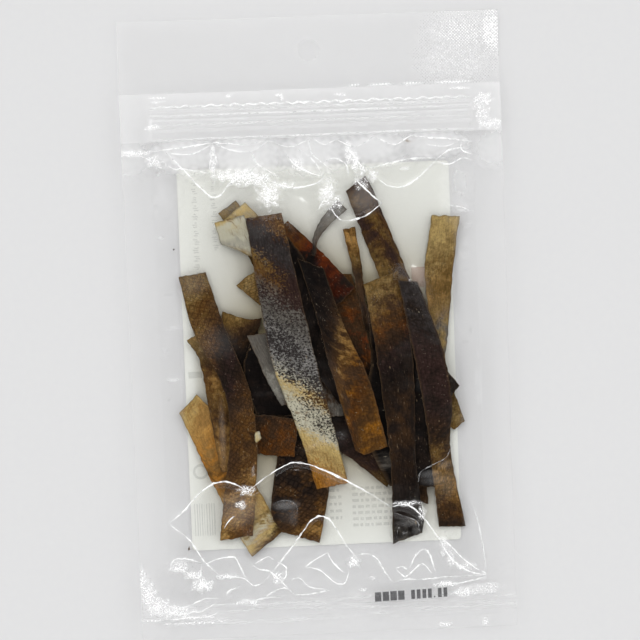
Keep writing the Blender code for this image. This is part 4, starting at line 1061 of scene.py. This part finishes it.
back_x = stations((-SEAL_X, SEAL_X, BACK_CELL))
back_y = stations((SEAL_Y, ZIP_TOP, BACK_CELL))
x, y = np.meshgrid(back_x, back_y)
back_film = sheet("film_back", x, y, finer(back, CELL, back_x, back_y), oiled_film)
bell = np.exp(-0.5 * (np.arange(-60, 61) * CELL / SHADE_REACH)**2)
covered = (heap_top > back + SKIN_THICK / 2) * 1.0
for axis in (0, 1):
    covered = np.apply_along_axis(np.convolve, axis, covered, bell / bell.sum(), "same")
inside = np.minimum(LABEL_HIGH.x - abs(x), np.minimum(LABEL_HIGH.y - y, y - LABEL_LOW.y))
crowding = (at(covered, x, y) * ease(inside / SHADE_RIM))[..., None]
passed_twice = 1 - SHADE_EVEN * crowding - np.array(SHADE_DEEP) * crowding**2
# the painted shade, as the colour that the sheet lets through
paint(back_film, "tint", np.dstack([np.maximum(passed_twice, 0.1)**.5, np.ones_like(x)]))


# ---------------------------------------------------------------- the label and the printed marks
# The label is stuck on the back with its print facing down. What shows from the front is its
# blank side, with the print dim behind it. The marks stand for words and codes as plain shapes.
PAPER_LIFT, INK_LIFT = 0.03, 0.16    # mm that marks lie over the paper, and over the film's ribs
PAPER_CLOUD = 1.2                    # mm across the faint clouds of its pulp
DATE_X, DATE_Y, DATE_TALL, DOT_TALL, DATE_TILT = 17, -103.2, 3.5, 0.6, 0.028   # in mm, and its slope

# Paper with a smooth coat: nearly white and half matt, with faint clouds in its pulp.
label_paper, tree = new_material("coated_label_paper")
cloudy = add(tree, "TexNoise", add(tree, "TexCoord").outputs["Object"], 1 / (PAPER_CLOUD * MM), 4.0)
paper = add(tree, "Mix", cloudy, srgb("#f7f8f2"), srgb("#eeefe8"), data_type="RGBA")
add(tree, "OutputMaterial", add(tree, "BsdfPrincipled", {"Base Color": paper, "Roughness": 0.5}))
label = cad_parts["label"]
label.data.materials.clear()
label.data.materials.append(label_paper)

# Thin matt ink. Seen through the paper, most of it is lost.
inks = {}
for name, tone, share in (("ink_through_paper", "#8a8c88", .12), ("pink_ink_through_paper", "#d99a90", .25),
                          ("black_print_ink", "#26262b", .8), ("pink_print_ink", "#cf8f86", 1.0)):
    inks[name], tree = new_material(name)
    ink = add(tree, "BsdfPrincipled", {"Base Color": srgb(tone), "Roughness": 0.6})
    add(tree, "OutputMaterial", add(tree, "MixShader", share, add(tree, "BsdfTransparent"), ink))


def flat(name, outlines, z, material, owner=None):
    """Flat marks in one mesh, each from its outline."""
    verts = [(x, y, z) for outline in outlines for x, y in outline]
    ends = np.cumsum([0] + [len(outline) for outline in outlines])
    piece = new_piece(name, verts, [list(range(a, b)) for a, b in zip(ends[:-1], ends[1:])], material)
    if owner:
        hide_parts(owner)


def bar(x0, x1, y0, y1):
    """The outline of an upright bar."""
    return [(x0, y0), (x1, y0), (x1, y1), (x0, y1)]


rng = np.random.default_rng(11)
marks = [bar(-49, -44, -17, -14.6), bar(-49, -44, -30, -28.4)]
for x, top, foot in ((-44, 55, 20), (-37, 57, 30)):      # two columns of upright writing
    for y in np.arange(foot, top, 3.1):
        for row in (0, .8, 1.6):
            marks.append(bar(x - rng.uniform(.3, 1.3), x + rng.uniform(.3, 1.3), y + row, y + row + .45))
for x0, x1, y0, y1, step in ((1.5, 6, -72, -61, 2.6), (10, 25, -75, -61, 2.3)):     # two blocks of lines
    for y in np.arange(y0, y1, step):
        x = x0
        while x < x1:
            wide = rng.uniform(.8, 2.6)
            marks.append(bar(x, min(x + wide, x1), y, y + 1.1))
            x += wide + .7
for x in np.arange(-49, -41, .9):                        # a code of upright bars
    marks.append(bar(x, x + rng.uniform(.2, .6), -76, -64))
turns = np.linspace(0, 2 * np.pi, 25)
for a, b in zip(turns[:-1], turns[1:]):                  # a ring
    corners = ((2, a), (2.9, a), (2.9, b), (2, b))
    marks.append([(-46 + r * np.cos(t), -52 + r * np.sin(t)) for r, t in corners])
patch_mark = [bar(35, 40.5, 13.5, 21)]
flat("label_print_through", marks, LABEL_HIGH.z + PAPER_LIFT, inks["ink_through_paper"])
flat("label_patch_through", patch_mark, LABEL_HIGH.z + PAPER_LIFT, inks["pink_ink_through_paper"])
flat("label_print", [outline[::-1] for outline in marks], LABEL_LOW.z - PAPER_LIFT, inks["black_print_ink"])
flat("label_patch", [patch_mark[0][::-1]], LABEL_LOW.z - PAPER_LIFT, inks["pink_print_ink"])

date_marks = []
for first, count, pitch, wide, tall in (
        (DATE_X, 4, 2.9, 2.4, DATE_TALL), (30.6, 4, 2.1, 1.4, DATE_TALL),
        (39.1, 1, 0, .5, DOT_TALL), (40.6, 2, 2.1, 1.4, DATE_TALL)):
    for x in first + pitch * np.arange(count):
        rise = DATE_Y + DATE_TILT * (x - DATE_X)
        date_marks.append(bar(x, x + wide, rise, rise + tall))
flat("date_marks", date_marks, float(front[front_y < SEAL_Y][:, abs(front_x - 31) < 15].max()) + INK_LIFT,
     inks["black_print_ink"], "pouch")
